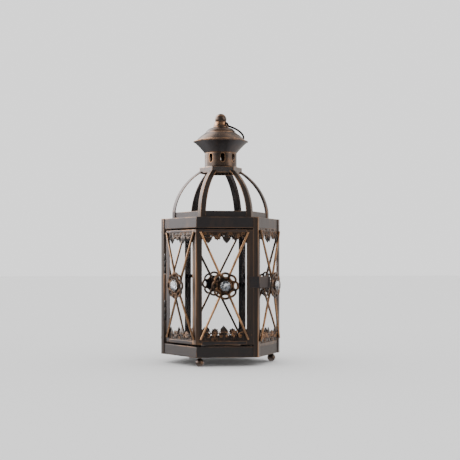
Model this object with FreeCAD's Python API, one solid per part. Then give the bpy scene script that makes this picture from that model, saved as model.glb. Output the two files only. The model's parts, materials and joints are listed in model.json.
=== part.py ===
import FreeCAD, Part
import math
import os

V = FreeCAD.Vector

# A six-sided candle lantern of sheet steel with a two-panel door. Z is up, z = 0 is the table
# under the ball feet, and the Z axis is the lantern's own axis. The front face looks along -Y.
# Lengths are in millimetres and angles in degrees.

# Body
corner_radius = 63.7          # axis to the outside edge of a corner post
corner_count = 6
base_bottom = 9.3             # underside of the floor and of the base band
base_band_height = 11.0
window_height = 120.9         # from the base band's top to the upper band
upper_band_height = 11.1
sheet_thickness = 0.8         # bands, plates, collar, chimney, hood and lid
strip_thickness = 0.7         # folded strips of the posts and of the door's frame
post_flange_width = 4.9
post_fit_gap = 0.02           # between parts that slide into each other before welding

# Ball feet
support_ball_radius = 4.3
support_ball_height = 4.05    # middle of the ball, whose underside is worn flat
support_stud_radius = 1.7
support_inset = 8.9           # from the corner's outside edge to the middle of a foot

# Candle cup
cup_radius = 21.0
cup_height = 7.5
cup_bead_radius = 0.8

# Door
door_proud_depth = 0.3        # the door's frame stands this far out of the posts
door_gap_top = 1.9
door_gap_bottom = 2.3
corner_flange_width = 6.2
hinge_gap = 5.7               # from the left post's flange to the hinge stile
hinge_stile_width = 5.7
jamb_depth = 3.2              # how far the left post's edge is folded inward beside the door
jamb_gap = 0.3                # between the folded edge and the hinges or the bands
latch_gap = 0.15              # from the latch stile to the front right post
latch_stile_width = 6.9
rail_top_height = 2.6
rail_bottom_height = 3.4
door_lace_lap = 0.4           # from the door's edge to the lace behind the rail
door_lace_side = 0.8

# Hinges
hinge_height_shares = (0.278, 0.7)
hinge_length = 20.5
hinge_leaf_thickness = 0.6
hinge_leaf_lap = 3.4          # part of a leaf that lies behind its strip
barrel_radius = 1.7
barrel_gap = 0.35             # between a leaf and the other leaf's knuckle
knuckle_gap = 0.3
door_knuckle_length = 6.2
pin_radius = 0.75
pin_clearance = 0.06
pin_head_radius = 1.35
pin_head_height = 0.7

# Latch: a spring strip that reaches round the front right post
latch_height = 11.7
latch_height_share = 0.542    # of the window's height
latch_thickness = 0.7
latch_lap = 4.4               # part of the strip on the door's stile
latch_bend_reach = 0.9        # from the corner's edge to the bend
latch_tail_length = 12.4
latch_tail_turn = 35.0
latch_curl_length = 2.6
latch_curl_turn = 62.0

# Glass
glass_thickness = 2.0
glass_gap = 0.05
pane_corner_gap = 0.5
pane_end_gap = 1.0
door_pane_side = 1.0

# Tabs that hold the panes
tab_length = 4.4
tab_height = 3.9
tab_thickness = 0.6
tab_stem_thickness = 0.4
tab_low_share = 0.5           # of the window's height
tab_high_share = 0.585

# Crossed rods
rod_radius = 1.0
rod_gap = 0.05
rod_rise = 1.9                # how far the inner rod stands out at the crossing
rod_low_inset = 4.9           # from the lower edge of the window or of the door to a rod's end
face_rod_high_inset = 2.0
door_rod_high_inset = 2.3
face_rod_lap = 1.45           # how far a rod reaches over the post's flange
hinge_stile_rod_lap = 3.95
latch_stile_rod_lap = 1.85

# Rosettes
rosette_radius = 13.9
rosette_thickness = 0.8
loop_count = 8
loop_radius = 3.95
loop_hole_radius = 2.75
hub_radius = 8.4
setting_radius = 6.7
setting_wall_thickness = 0.7
setting_height = 2.1

# Faceted stones
stone_radius = 5.6
stone_base_radius = 3.2
stone_table_radius = 3.3
stone_back_height = 1.5
stone_girdle_height = 0.8
stone_crown_height = 1.6
stone_sides = 8
stone_gap = 0.05

# Pierced lace
lace_thickness = 0.7
lace_root_top = 1.8
lace_root_bottom = 3.5
lace_side_gap = 0.8
motif_spacing = 9.85          # from a leaf to the next flower
leaf_height = 13.4
leaf_half_width = 3.9
leaf_root_depth = 0.6         # how far a leaf runs into the root strip
leaf_eye_height = 8.6
leaf_eye_radius = 0.8
scroll_radius = 2.9
scroll_hole_radius = 1.25
scroll_offset = 4.1
scroll_height = 2.6
flower_height = 6.3           # middle of a flower above the root strip
flower_disc_radius = 3.3
flower_eye_radius = 0.9
petal_count = 8
petal_circle_radius = 3.1
petal_radius = 1.25
petal_hole_radius = 0.6
stem_half_width = 1.1

# Dome
shoulder_lip_width = 4.5      # from the dome band's corners in to the shoulder plate's opening
dome_height = 48.4            # from the shoulder plate to the collar
dome_band_inset = 12.7        # from the lantern's corners to the dome band's
dome_band_height = 6.7
rib_thickness = 0.8
rib_flange_width = 5.0
rib_foot_rise = 0.5           # the straight foot of a rib ends this far above the dome band
rib_middle_radius_share = 0.806   # of the dome band's radius
rib_middle_height_share = 0.7045  # of the dome's height
rib_head_lap = 2.3            # where the rib meets the collar, above the collar's lower edge
rib_head_overrun = 5.0        # how far the rib's curve runs on, to be cut at the collar

# Collar and chimney
collar_radius = 22.9
collar_height = 6.3
chimney_radius = 17.05
chimney_flare_width = 1.1
chimney_flare_height = 1.3
chimney_height = 15.5
vent_count = 8
vent_width = 4.3
vent_height = 9.1
vent_rise = 5.2               # from the collar's top to a vent's lower end

# Hood and lid, with heights above the chimney's top for the hood and above the rim for the lid
hood_height = 12.0
hood_middle_radius = 20.7
hood_middle_rise = 4.4
rim_radius = 29.3
hem_width = 0.8
hem_height = 0.5
lid_break_radius = 26.0
lid_break_rise = 1.6
lid_bulge_radius = 22.2
lid_bulge_rise = 5.4
lid_shoulder_radius = 16.9
lid_shoulder_rise = 9.3
lid_step_radius = 16.1
lid_step_rise = 10.1
lid_crown_radius = 13.9
lid_crown_rise = 13.0
lid_top_radius = 9.2
lid_height = 15.0

# Finial: a bell, a neck and a ball, held by a stud and a nut under the lid
bell_rim_radius = 8.5
bell_rim_height = 1.1
bell_middle_radius = 7.2
bell_middle_share = 0.5       # of the bell's height
bell_top_radius = 6.5
bell_height = 6.5
collet_radius = 4.9
collet_height = 0.4
ball_radius = 6.2
ball_sink = 3.8               # how far the ball's underside is cut off where it sits on the neck
stud_radius = 2.6
stud_clearance = 0.1
stud_length = 4.4
nut_radius = 4.6
nut_height = 2.4

# Hanging ring: one bent wire, folded down over the lid
wire_radius = 0.9
ring_radius = 16.7
ring_centre_reach = 15.1      # from the axis to the ring's middle, along the ring
ring_root_half_width = 9.6
ring_plane_rise = 2.15        # from the lid's top to where the ring's plane meets the axis
ring_lean = 27.0
ring_turn = 43.0              # from X to the side that the ring leans to
ring_pivot_share = 0.75       # of the bell's height
ring_leg_offset = 8.4
ring_pin_length = 4.9
ring_pin_clearance = 0.06

overrun_length = 2.0

# Sizes that follow from those above
corner_step = 360.0 / corner_count
flat_share = math.cos(math.radians(corner_step / 2))
slope_share = math.tan(math.radians(corner_step / 2))
cross_hole_radius = wire_radius + ring_pin_clearance
post_outer = corner_radius * flat_share
post_inner = post_outer - strip_thickness
band_inner = post_inner - sheet_thickness
support_circle_radius = corner_radius - support_inset
dome_band_radius = corner_radius - dome_band_inset
shoulder_opening_radius = dome_band_radius - shoulder_lip_width
post_half_face = post_outer * slope_share
base_top = base_bottom + base_band_height
upper_bottom = base_top + window_height
upper_top = upper_bottom + upper_band_height
floor_top = base_bottom + sheet_thickness
shoulder_bottom = upper_top - sheet_thickness
pane_back = band_inner - glass_gap - glass_thickness
door_outer = post_outer + door_proud_depth
door_inner = door_outer - strip_thickness
door_lace_back = door_inner - lace_thickness
door_pane_back = door_lace_back - glass_gap - glass_thickness
door_half_face = door_outer * slope_share
door_bottom = base_top + door_gap_bottom
door_top = upper_bottom - door_gap_top
left_post_edge = post_flange_width - post_half_face
hinge_line = left_post_edge + hinge_gap / 2
hinge_depth = post_inner - hinge_leaf_thickness / 2
hinge_stile_left = left_post_edge + hinge_gap
hinge_stile_right = hinge_stile_left + hinge_stile_width
latch_stile_right = post_half_face - post_flange_width - latch_gap
latch_stile_left = latch_stile_right - latch_stile_width
corner_flange_edge = door_half_face - corner_flange_width
left_panel_middle = (hinge_stile_right + corner_flange_edge) / 2
front_panel_middle = (latch_stile_left - corner_flange_edge) / 2
door_rod_low = door_bottom + rod_low_inset
door_rod_high = door_top - door_rod_high_inset
face_rod_low = base_top + rod_low_inset
face_rod_high = upper_bottom - face_rod_high_inset
tab_low_height = base_top + window_height * tab_low_share
tab_high_height = base_top + window_height * tab_high_share
latch_middle = base_top + window_height * latch_height_share
hinge_heights = [door_bottom + (door_top - door_bottom) * share for share in hinge_height_shares]
loop_circle_radius = rosette_radius - loop_radius
collar_bottom = upper_top + dome_height
collar_top = collar_bottom + collar_height
chimney_inner = chimney_radius - sheet_thickness
chimney_top = collar_top + chimney_height
rim_height = chimney_top + hood_height
lid_top = rim_height + lid_height
bell_top = lid_top + bell_height
neck_top = bell_top + collet_height
ball_middle = neck_top + ball_radius - ball_sink
ring_pivot_height = lid_top + bell_height * ring_pivot_share

front_turn = 270.0
face_turns = {"right": 330.0, "back_right": 30.0, "back": 90.0, "back_left": 150.0}
door_turns = {"left": 210.0, "front": front_turn}
door_middles = {"left": left_panel_middle, "front": front_panel_middle}
door_rod_reaches = {"left": corner_flange_edge - left_panel_middle + hinge_stile_rod_lap,
                    "front": corner_flange_edge + front_panel_middle + latch_stile_rod_lap}
corner_turns = {"right": 0.0, "back_right": 60.0, "back_left": 120.0, "left": 180.0, "front_right": 300.0}
front_left_turn = 240.0
foot_turns = {"front_left": front_left_turn, "right": 0.0, "back_left": 120.0}


def save(name, shape):
    shape.exportStep("parts/" + name + ".step")


def turned(shape, degrees):
    copy = shape.copy()
    copy.rotate(V(0, 0, 0), V(0, 0, 1), degrees)
    return copy


def to_face(shape, face_turn):
    return turned(shape, face_turn - front_turn)


def joined(shapes):
    return shapes[0].multiFuse(shapes[1:]).removeSplitter()


def one_solid(shape):
    return shape.Solids[0] if len(shape.Solids) == 1 else shape


def face_box(left, right, back, out, low, high):
    # a block on the front face: left to right, from its back to its outside, low to high
    return Part.makeBox(right - left, out - back, high - low, V(left, -out, low))


def prism(points, low, high):
    edge = Part.makePolygon([V(x, y, low) for x, y in points + points[:1]])
    return Part.Face(edge).extrude(V(0, 0, high - low))


def hexagon(radius, low, high):
    turns = [math.radians(corner_step * i) for i in range(corner_count)]
    return prism([(radius * math.cos(t), radius * math.sin(t)) for t in turns], low, high)


def hexagon_ring(flat, wall, low, high):
    outer = hexagon(flat / flat_share, low, high)
    inner = hexagon((flat - wall) / flat_share, low - overrun_length, high + overrun_length)
    return outer.cut(inner)


def disc(radius, low, high, x=0.0, y=0.0):
    return Part.makeCylinder(radius, high - low, V(x, y, low))


def revolved(points):
    # points are (radius, height), or a pair of them: the middle and the end of an arc
    edges = []
    start = points[0]
    for item in points[1:] + points[:1]:
        if isinstance(item[0], tuple):
            middle, end = item
            arc = Part.Arc(V(start[0], 0, start[1]), V(middle[0], 0, middle[1]), V(end[0], 0, end[1]))
            edges.append(arc.toShape())
        else:
            end = item
            edges.append(Part.makeLine(V(start[0], 0, start[1]), V(end[0], 0, end[1])))
        start = end
    return Part.Face(Part.Wire(edges)).revolve(V(0, 0, 0), V(0, 0, 1), 360)


def folded_strip(flat, flange, low, high):
    # a strip folded along a corner of the hexagon, here the one on the X axis
    outer = flat / flat_share
    inner = (flat - strip_thickness) / flat_share
    away = math.radians(180.0 - corner_step)
    lean = math.radians(corner_step / 2)
    end = (outer + flange * math.cos(away), flange * math.sin(away))
    back = (end[0] - strip_thickness * math.cos(lean), end[1] - strip_thickness * math.sin(lean))
    points = [(outer, 0.0), end, back, (inner, 0.0), (back[0], -back[1]), (end[0], -end[1])]
    return prism(points, low, high)


def wire_solid(points, radius):
    # a wire of straight runs with round bends
    pieces = []
    for start, end in zip(points[:-1], points[1:]):
        run = end - start
        pieces.append(Part.makeCylinder(radius, run.Length, start, run))
    pieces += [Part.makeSphere(radius, point) for point in points[1:-1]]
    return joined(pieces)


def add_base():
    save("base_band", hexagon_ring(post_inner, sheet_thickness, base_bottom, base_top))
    save("floor_plate", hexagon((band_inner - post_fit_gap) / flat_share, base_bottom, floor_top))
    for corner, turn in foot_turns.items():
        ball = Part.makeSphere(support_ball_radius, V(support_circle_radius, 0, support_ball_height))
        stud = disc(support_stud_radius, support_ball_height, base_bottom, support_circle_radius)
        foot = ball.fuse(stud)
        ground = Part.makeBox(support_ball_radius * 4, support_ball_radius * 4, support_ball_radius * 2,
                              V(support_circle_radius - support_ball_radius * 2, -support_ball_radius * 2,
                                -support_ball_radius * 2))
        save("foot_" + corner, turned(foot.cut(ground), turn))


def add_candle_cup():
    top = floor_top + cup_height
    room = disc(cup_radius - sheet_thickness, floor_top + sheet_thickness, top + overrun_length)
    wall = disc(cup_radius, floor_top, top).cut(room)
    bead = Part.makeTorus(cup_radius - sheet_thickness / 2, cup_bead_radius, V(0, 0, top))
    save("candle_cup", joined([wall, bead]))


def hinge_jambs():
    # the edge of the left post's flange, folded inward above, between and below the hinges
    reach = hinge_length / 2 + jamb_gap
    edges = [base_top + jamb_gap]
    for height in hinge_heights:
        edges += [height - reach, height + reach]
    edges.append(upper_bottom - jamb_gap)
    jambs = []
    for low, high in zip(edges[::2], edges[1::2]):
        jamb = face_box(left_post_edge - strip_thickness, left_post_edge, post_inner - jamb_depth,
                        post_inner, low, high)
        jambs.append(to_face(jamb, door_turns["left"]))
    return jambs


def add_posts():
    post = folded_strip(post_outer, post_flange_width, base_bottom, upper_top)
    for corner, turn in corner_turns.items():
        strip = turned(post, turn)
        if corner == "left":
            strip = one_solid(joined([strip] + hinge_jambs()))
        save("post_" + corner, strip)


def add_shoulder():
    save("upper_band", hexagon_ring(post_inner, sheet_thickness, upper_bottom, upper_top))
    plate = hexagon((band_inner - post_fit_gap) / flat_share, shoulder_bottom, upper_top)
    opening = hexagon(shoulder_opening_radius, shoulder_bottom - overrun_length, upper_top + overrun_length)
    save("shoulder_plate", plate.cut(opening))
    band_top = upper_top + dome_band_height
    save("dome_band", hexagon_ring(dome_band_radius * flat_share, sheet_thickness, upper_top, band_top))


def arc_centre(first, middle, last):
    ax, ay = middle[0] - first[0], middle[1] - first[1]
    bx, by = last[0] - first[0], last[1] - first[1]
    cross = (ax * by - ay * bx) * 2
    a2, b2 = ax * ax + ay * ay, bx * bx + by * by
    return first[0] + (by * a2 - ay * b2) / cross, first[1] + (ax * b2 - bx * a2) / cross


def rib_gore():
    # one side of the dome's sheet, as a curved panel on the front face
    outer = dome_band_radius * flat_share + rib_thickness
    first = (outer, upper_top + dome_band_height + rib_foot_rise)
    middle = (dome_band_radius * rib_middle_radius_share * flat_share,
              upper_top + dome_height * rib_middle_height_share)
    last = (collar_radius * flat_share, collar_bottom + rib_head_lap)
    cx, cz = arc_centre(first, middle, last)
    radius = math.hypot(last[0] - cx, last[1] - cz)
    head_reach = last[0] - rib_head_overrun
    head = (head_reach, cz + math.sqrt(radius ** 2 - (head_reach - cx) ** 2))

    def at(point, depth):
        share = (radius - depth) / radius
        return V(0, -(cx + (point[0] - cx) * share), cz + (point[1] - cz) * share)

    def foot(depth):
        return V(0, -(outer - depth), upper_top)

    def curve(start, end, depth):
        return Part.Arc(at(start, depth), at(middle, depth), at(end, depth)).toShape()

    edges = [Part.makeLine(foot(rib_thickness), foot(0.0)), Part.makeLine(foot(0.0), at(first, 0.0)),
             curve(first, head, 0.0), Part.makeLine(at(head, 0.0), at(head, rib_thickness)),
             curve(head, first, rib_thickness), Part.makeLine(at(first, rib_thickness), foot(rib_thickness))]
    panel = Part.Face(Part.Wire(edges)).extrude(V(dome_band_radius, 0, 0))
    both = panel.copy()
    both.translate(V(-dome_band_radius, 0, 0))
    return panel.fuse(both)


def add_ribs():
    gore = rib_gore()
    slab = rib_flange_width * flat_share
    reach = dome_band_radius * 2
    room = dome_height + collar_height
    upper_half = Part.makeBox(reach, slab, room, V(0, 0, upper_top))
    lower_half = Part.makeBox(reach, slab, room, V(0, -slab, upper_top))
    left = turned(gore, corner_step / 2 - front_turn).common(upper_half)
    right = turned(gore, -corner_step / 2 - front_turn).common(lower_half)
    collar = hexagon(collar_radius + post_fit_gap, upper_top, collar_top)
    rib = one_solid(joined([left, right]).cut(collar))
    for corner, turn in list(corner_turns.items()) + [("front_left", front_left_turn)]:
        save("rib_" + corner, turned(rib, turn))


def add_collar():
    wall = hexagon_ring(collar_radius * flat_share, sheet_thickness, collar_bottom, collar_top)
    top = hexagon(collar_radius, collar_top - sheet_thickness, collar_top)
    hole = disc(chimney_inner, collar_bottom, collar_top + overrun_length)
    save("collar", joined([wall, top.cut(hole)]))


def vent():
    reach = chimney_radius * 2
    half = vent_width / 2
    bottom = collar_top + vent_rise
    slot = Part.makeBox(reach, vent_width, vent_height - vent_width, V(0, -half, bottom + half))
    low = Part.makeCylinder(half, reach, V(0, 0, bottom + half), V(1, 0, 0))
    high = Part.makeCylinder(half, reach, V(0, 0, bottom + vent_height - half), V(1, 0, 0))
    return joined([slot, low, high])


def add_chimney():
    foot = chimney_radius + chimney_flare_width
    flare_top = collar_top + chimney_flare_height
    tube = revolved([(foot, collar_top), (chimney_radius, flare_top), (chimney_radius, chimney_top),
                     (chimney_inner, chimney_top), (chimney_inner, collar_top)])
    vents = [turned(vent(), 360.0 / vent_count * i) for i in range(vent_count)]
    save("chimney", tube.cut(Part.makeCompound(vents)))


def add_hood():
    edge = rim_radius - hem_width
    middle_height = chimney_top + hood_middle_rise
    outer = ((hood_middle_radius, middle_height), (edge, rim_height))
    inner = ((hood_middle_radius - sheet_thickness, middle_height + sheet_thickness),
             (chimney_inner, chimney_top))
    shell = revolved([(chimney_radius, chimney_top), outer, (edge, rim_height + hem_height),
                      (edge - sheet_thickness, rim_height + hem_height), inner])
    save("hood", shell)


def add_lid():
    # the outside of the lid's wall from the rim to the stud's hole, then its inside back to the rim
    hole = stud_radius + stud_clearance
    edge = rim_radius - hem_width
    step_height = rim_height + lid_step_rise
    break_height = rim_height + lid_break_rise
    bulge = (lid_bulge_radius, rim_height + lid_bulge_rise)
    shoulder = (lid_shoulder_radius, rim_height + lid_shoulder_rise)
    crown = (lid_crown_radius, rim_height + lid_crown_rise)
    outside = [(rim_radius, rim_height), (lid_break_radius, break_height), (bulge, shoulder),
               (lid_step_radius, step_height), (crown, (lid_top_radius, lid_top)), (hole, lid_top)]

    def inset(point):
        return point[0] - sheet_thickness, point[1] - sheet_thickness

    inside = [(hole, lid_top - sheet_thickness), (lid_top_radius, lid_top - sheet_thickness),
              (inset(crown), (lid_step_radius - sheet_thickness, step_height)), inset(shoulder),
              (inset(bulge), (lid_break_radius, break_height - sheet_thickness)),
              (edge, rim_height + hem_height), (edge, rim_height)]
    save("lid", revolved(outside + inside))


def add_finial():
    foot_top = lid_top + bell_rim_height
    bell = ((bell_middle_radius, lid_top + bell_height * bell_middle_share), (bell_top_radius, bell_top))
    body = revolved([(0.0, lid_top), (bell_rim_radius, lid_top), (bell_rim_radius, foot_top), bell,
                     (collet_radius, bell_top), (collet_radius, neck_top), (0.0, neck_top)])
    ball = Part.makeSphere(ball_radius, V(0, 0, ball_middle))
    ball = ball.cut(disc(ball_radius + overrun_length, neck_top - ball_radius * 2, neck_top))
    stud = disc(stud_radius, lid_top - stud_length, lid_top)
    side = V(0, -bell_rim_radius, ring_pivot_height)
    hole = Part.makeCylinder(cross_hole_radius, bell_rim_radius * 2, side, V(0, 1, 0))
    save("finial", turned(joined([body, ball, stud]).cut(hole), ring_turn))
    nut_top = lid_top - sheet_thickness
    nut_bottom = nut_top - nut_height
    bore = disc(stud_radius + post_fit_gap, nut_bottom - overrun_length, nut_top + overrun_length)
    save("finial_nut", hexagon(nut_radius, nut_bottom, nut_top).cut(bore))


def add_hanging_ring():
    lean = math.radians(ring_lean)
    along = V(math.cos(lean), 0, -math.sin(lean))
    across = V(0, 1, 0)
    start = V(0, 0, lid_top + ring_plane_rise)
    centre = start + along * ring_centre_reach
    drop = math.sqrt(ring_radius ** 2 - ring_root_half_width ** 2)
    roots = [centre - along * drop + across * (side * ring_root_half_width) for side in (1, -1)]
    loop = Part.Arc(roots[0], centre + along * ring_radius, roots[1]).toShape()
    tangent = along.cross(across).cross(roots[0] - centre)
    section = Part.Wire(Part.Circle(roots[0], tangent, wire_radius).toShape())
    pieces = [Part.Wire(loop).makePipeShell([section], True, False)]
    for side, root in zip((1, -1), roots):
        pivot = V(0, side * ring_leg_offset, ring_pivot_height)
        pin_end = V(0, side * (ring_leg_offset - ring_pin_length), ring_pivot_height)
        pieces.append(wire_solid([pin_end, pivot, root], wire_radius))
        pieces.append(Part.makeSphere(wire_radius, root))
    save("hanging_ring", turned(joined(pieces), ring_turn))


def crossed_rods(middle, seat, reach, low, high):
    # two bent rods on the front face, one over the other
    rods = []
    end_depth = seat + rod_gap + rod_radius
    for side, lift in ((1, 0.0), (-1, rod_radius * 2 + rod_gap)):
        centre = V(middle, -(end_depth + rod_rise + lift), (low + high) / 2)
        ends = [V(middle - side * reach, -end_depth, low), V(middle + side * reach, -end_depth, high)]
        rods.append(wire_solid([ends[0], centre, ends[1]], rod_radius))
    return Part.makeCompound(rods)


def rosette_seat(seat):
    return seat + rod_rise + rod_gap * 3 + rod_radius * 4


def rosette():
    # flat on the XY plane, its back at z = 0
    plate = disc(hub_radius, 0.0, rosette_thickness)
    turns = [math.radians(360.0 / loop_count * i) for i in range(loop_count)]
    spots = [(loop_circle_radius * math.cos(t), loop_circle_radius * math.sin(t)) for t in turns]
    loops = [disc(loop_radius, 0.0, rosette_thickness, x, y) for x, y in spots]
    top = rosette_thickness + overrun_length
    holes = [disc(loop_hole_radius, -overrun_length, top, x, y) for x, y in spots]
    lace = joined(loops).cut(Part.makeCompound(holes))
    wall_top = rosette_thickness + setting_height
    bowl = disc(setting_radius - setting_wall_thickness, rosette_thickness, wall_top)
    wall = disc(setting_radius, 0.0, wall_top).cut(bowl)
    return joined([lace, plate, wall])


def stone():
    # a cut stone that rests on the rosette's plate
    seat = rosette_thickness + stone_gap
    girdle_top = stone_back_height + stone_girdle_height
    levels = [(stone_base_radius, 0.0), (stone_radius, stone_back_height), (stone_radius, girdle_top),
              (stone_table_radius, girdle_top + stone_crown_height)]
    wires = []
    for radius, height in levels:
        turns = [math.radians(360.0 / stone_sides * (i + 0.5)) for i in range(stone_sides)]
        ring = [V(radius * math.cos(t), radius * math.sin(t), seat + height) for t in turns]
        wires.append(Part.makePolygon(ring + ring[:1]))
    return Part.makeLoft(wires, True, True)


def stand_up(shape, middle, depth, height):
    # from flat on the XY plane to the front face, facing out
    copy = shape.copy()
    copy.rotate(V(0, 0, 0), V(1, 0, 0), 90)
    copy.translate(V(middle, -depth, height))
    return copy


def add_rods_and_rosettes():
    flower = rosette()
    jewel = stone()
    fixed_rods = []
    fixed_stones = []
    for face, turn in face_turns.items():
        reach = post_half_face - post_flange_width + face_rod_lap
        rods = crossed_rods(0.0, post_outer, reach, face_rod_low, face_rod_high)
        fixed_rods.append(to_face(rods, turn))
        height = (face_rod_low + face_rod_high) / 2
        save("rosette_" + face, to_face(stand_up(flower, 0.0, rosette_seat(post_outer), height), turn))
        fixed_stones.append(to_face(stand_up(jewel, 0.0, rosette_seat(post_outer), height), turn))
    save("cross_rods", Part.makeCompound(fixed_rods))
    save("stones", Part.makeCompound(fixed_stones))
    door_stones = []
    for face, turn in door_turns.items():
        middle = door_middles[face]
        rods = crossed_rods(middle, door_outer, door_rod_reaches[face], door_rod_low, door_rod_high)
        save("door_cross_rods_" + face, to_face(rods, turn))
        depth = rosette_seat(door_outer)
        height = (door_rod_low + door_rod_high) / 2
        save("door_rosette_" + face, to_face(stand_up(flower, middle, depth, height), turn))
        door_stones.append(to_face(stand_up(jewel, middle, depth, height), turn))
    save("door_stones", Part.makeCompound(door_stones))


def leaf(middle, root):
    # a pointed leaf between two pierced scrolls, flat on the XY plane and pointing along +Y
    low = V(middle, root - leaf_root_depth, 0)
    tip = V(middle, root + leaf_height, 0)
    half = (low.y + tip.y) / 2
    sides = [Part.Arc(low, V(middle + leaf_half_width, half, 0), tip).toShape(),
             Part.Arc(tip, V(middle - leaf_half_width, half, 0), low).toShape()]
    blade = Part.Face(Part.Wire(sides)).extrude(V(0, 0, lace_thickness))
    solids = [blade]
    holes = [(leaf_eye_radius, middle, root + leaf_eye_height)]
    for side in (-1, 1):
        spot = middle + side * scroll_offset
        solids.append(disc(scroll_radius, 0.0, lace_thickness, spot, root + scroll_height))
        holes.append((scroll_hole_radius, spot, root + scroll_height))
    return solids, holes


def flower(middle, root):
    # a round flower on a short stem
    centre = root + flower_height
    stem = Part.makeBox(stem_half_width * 2, centre - root + leaf_root_depth, lace_thickness,
                        V(middle - stem_half_width, root - leaf_root_depth, 0))
    solids = [stem, disc(flower_disc_radius, 0.0, lace_thickness, middle, centre)]
    holes = [(flower_eye_radius, middle, centre)]
    for i in range(petal_count):
        turn = math.radians(360.0 / petal_count * (i + 0.5))
        x = middle + petal_circle_radius * math.cos(turn)
        y = centre + petal_circle_radius * math.sin(turn)
        solids.append(disc(petal_radius, 0.0, lace_thickness, x, y))
        holes.append((petal_hole_radius, x, y))
    return solids, holes


def lace_strip(left, right, middle, root):
    # flat on the XY plane, its root along y = 0
    solids = [Part.makeBox(right - left, root, lace_thickness, V(left, 0, 0))]
    holes = []
    motifs = [leaf, flower, leaf, flower, leaf]
    for i, motif in enumerate(motifs):
        spot = middle + motif_spacing * (i - (len(motifs) - 1) / 2)
        more, gaps = motif(spot, root)
        solids += more
        holes += gaps
    top = lace_thickness + overrun_length
    cutters = [disc(radius, -overrun_length, top, x, y) for radius, x, y in holes]
    span = Part.makeBox(right - left, root + leaf_height, lace_thickness, V(left, 0, 0))
    return joined(solids).common(span).cut(Part.makeCompound(cutters))


def lace_pair(left, right, middle, back, low, high):
    bottom = stand_up(lace_strip(left, right, middle, lace_root_bottom), 0.0, back, low)
    top = lace_strip(left, right, middle, lace_root_top)
    top = top.mirror(V(0, 0, 0), V(0, 1, 0))
    return Part.makeCompound([bottom, stand_up(top, 0.0, back, high)])


def add_lace():
    half = band_inner * slope_share - lace_side_gap
    fixed = lace_pair(-half, half, 0.0, post_inner - lace_thickness, base_top, upper_bottom)
    for face, turn in face_turns.items():
        save("lace_" + face, to_face(fixed, turn))
    corner = door_lace_back * slope_share - door_lace_side
    spans = {"left": (hinge_stile_left + door_lace_side, corner),
             "front": (-corner, latch_stile_right - door_lace_side)}
    for face, turn in door_turns.items():
        left, right = spans[face]
        pair = lace_pair(left, right, door_middles[face], door_lace_back, door_bottom + door_lace_lap,
                         door_top - door_lace_lap)
        save("door_lace_" + face, to_face(pair, turn))


def add_panes():
    half = pane_back * slope_share - pane_corner_gap
    for face, turn in face_turns.items():
        pane = face_box(-half, half, pane_back, pane_back + glass_thickness, floor_top,
                        shoulder_bottom - pane_end_gap)
        save("pane_" + face, to_face(pane, turn))
    corner = door_pane_back * slope_share - pane_corner_gap
    spans = {"left": (hinge_stile_left + door_pane_side, corner),
             "front": (-corner, latch_stile_right - door_pane_side)}
    for face, turn in door_turns.items():
        left, right = spans[face]
        pane = face_box(left, right, door_pane_back, door_pane_back + glass_thickness,
                        door_bottom + pane_end_gap, door_top - pane_end_gap)
        save("door_pane_" + face, to_face(pane, turn))


def corner_tab(fold, back, side, height):
    # a tab at the corner on the X axis: its stem passes between the panes, its leaf lies behind one
    apex = fold / flat_share - tab_stem_thickness / 2 * slope_share
    inner = (back - tab_thickness) / flat_share
    low = height - tab_height / 2
    stem = Part.makeBox(apex - inner, tab_stem_thickness, tab_height, V(inner, -tab_stem_thickness / 2, low))
    end = back * slope_share
    blade = face_box(end - tab_length, end, back - tab_thickness, back, low, low + tab_height)
    blade = to_face(blade, -corner_step / 2)
    if side > 0:
        blade = blade.mirror(V(0, 0, 0), V(0, 1, 0))
    return joined([stem, blade])


def edge_tab(edge, side, fold, back, height):
    # a tab beside a pane's upright edge, on the front face
    low = height - tab_height / 2
    near, far = sorted((edge, edge + side * tab_stem_thickness))
    stem = face_box(near, far, back - tab_thickness, fold, low, low + tab_height)
    start, end = sorted((edge + side * tab_stem_thickness, edge - side * tab_length))
    blade = face_box(start, end, back - tab_thickness, back, low, low + tab_height)
    return joined([stem, blade])


def add_tabs():
    tabs = []
    for corner, turn in corner_turns.items():
        if corner != "left":
            tabs.append(turned(corner_tab(post_inner, pane_back, 1, tab_low_height), turn))
        if corner != "front_right":
            tabs.append(turned(corner_tab(post_inner, pane_back, -1, tab_high_height), turn))
    save("glass_tabs", Part.makeCompound(tabs))
    door_tabs = [turned(corner_tab(door_inner, door_pane_back, 1, tab_low_height), front_left_turn),
                 turned(corner_tab(door_inner, door_pane_back, -1, tab_high_height), front_left_turn)]
    left_edge = hinge_stile_left + door_pane_side - glass_gap
    right_edge = latch_stile_right - door_pane_side + glass_gap
    left_tab = edge_tab(left_edge, -1, door_inner, door_pane_back, tab_low_height)
    right_tab = edge_tab(right_edge, 1, door_inner, door_pane_back, tab_low_height)
    door_tabs += [to_face(left_tab, door_turns["left"]), right_tab]
    save("door_glass_tabs", Part.makeCompound(door_tabs))


def add_door_frame():
    corner = folded_strip(door_outer, corner_flange_width, door_bottom, door_top)
    save("door_corner_post", turned(corner, front_left_turn))
    stile = face_box(hinge_stile_left, hinge_stile_right, door_inner, door_outer, door_bottom, door_top)
    save("door_hinge_stile", to_face(stile, door_turns["left"]))
    stile = face_box(latch_stile_left, latch_stile_right, door_inner, door_outer, door_bottom, door_top)
    save("door_latch_stile", stile)
    spans = {"left": (hinge_stile_right, corner_flange_edge),
             "front": (-corner_flange_edge, latch_stile_left)}
    heights = ((door_bottom, door_bottom + rail_bottom_height), (door_top - rail_top_height, door_top))
    rails = []
    for face, turn in door_turns.items():
        left, right = spans[face]
        for low, high in heights:
            rails.append(to_face(face_box(left, right, door_inner, door_outer, low, high), turn))
    save("door_rails", Part.makeCompound(rails))


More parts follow.
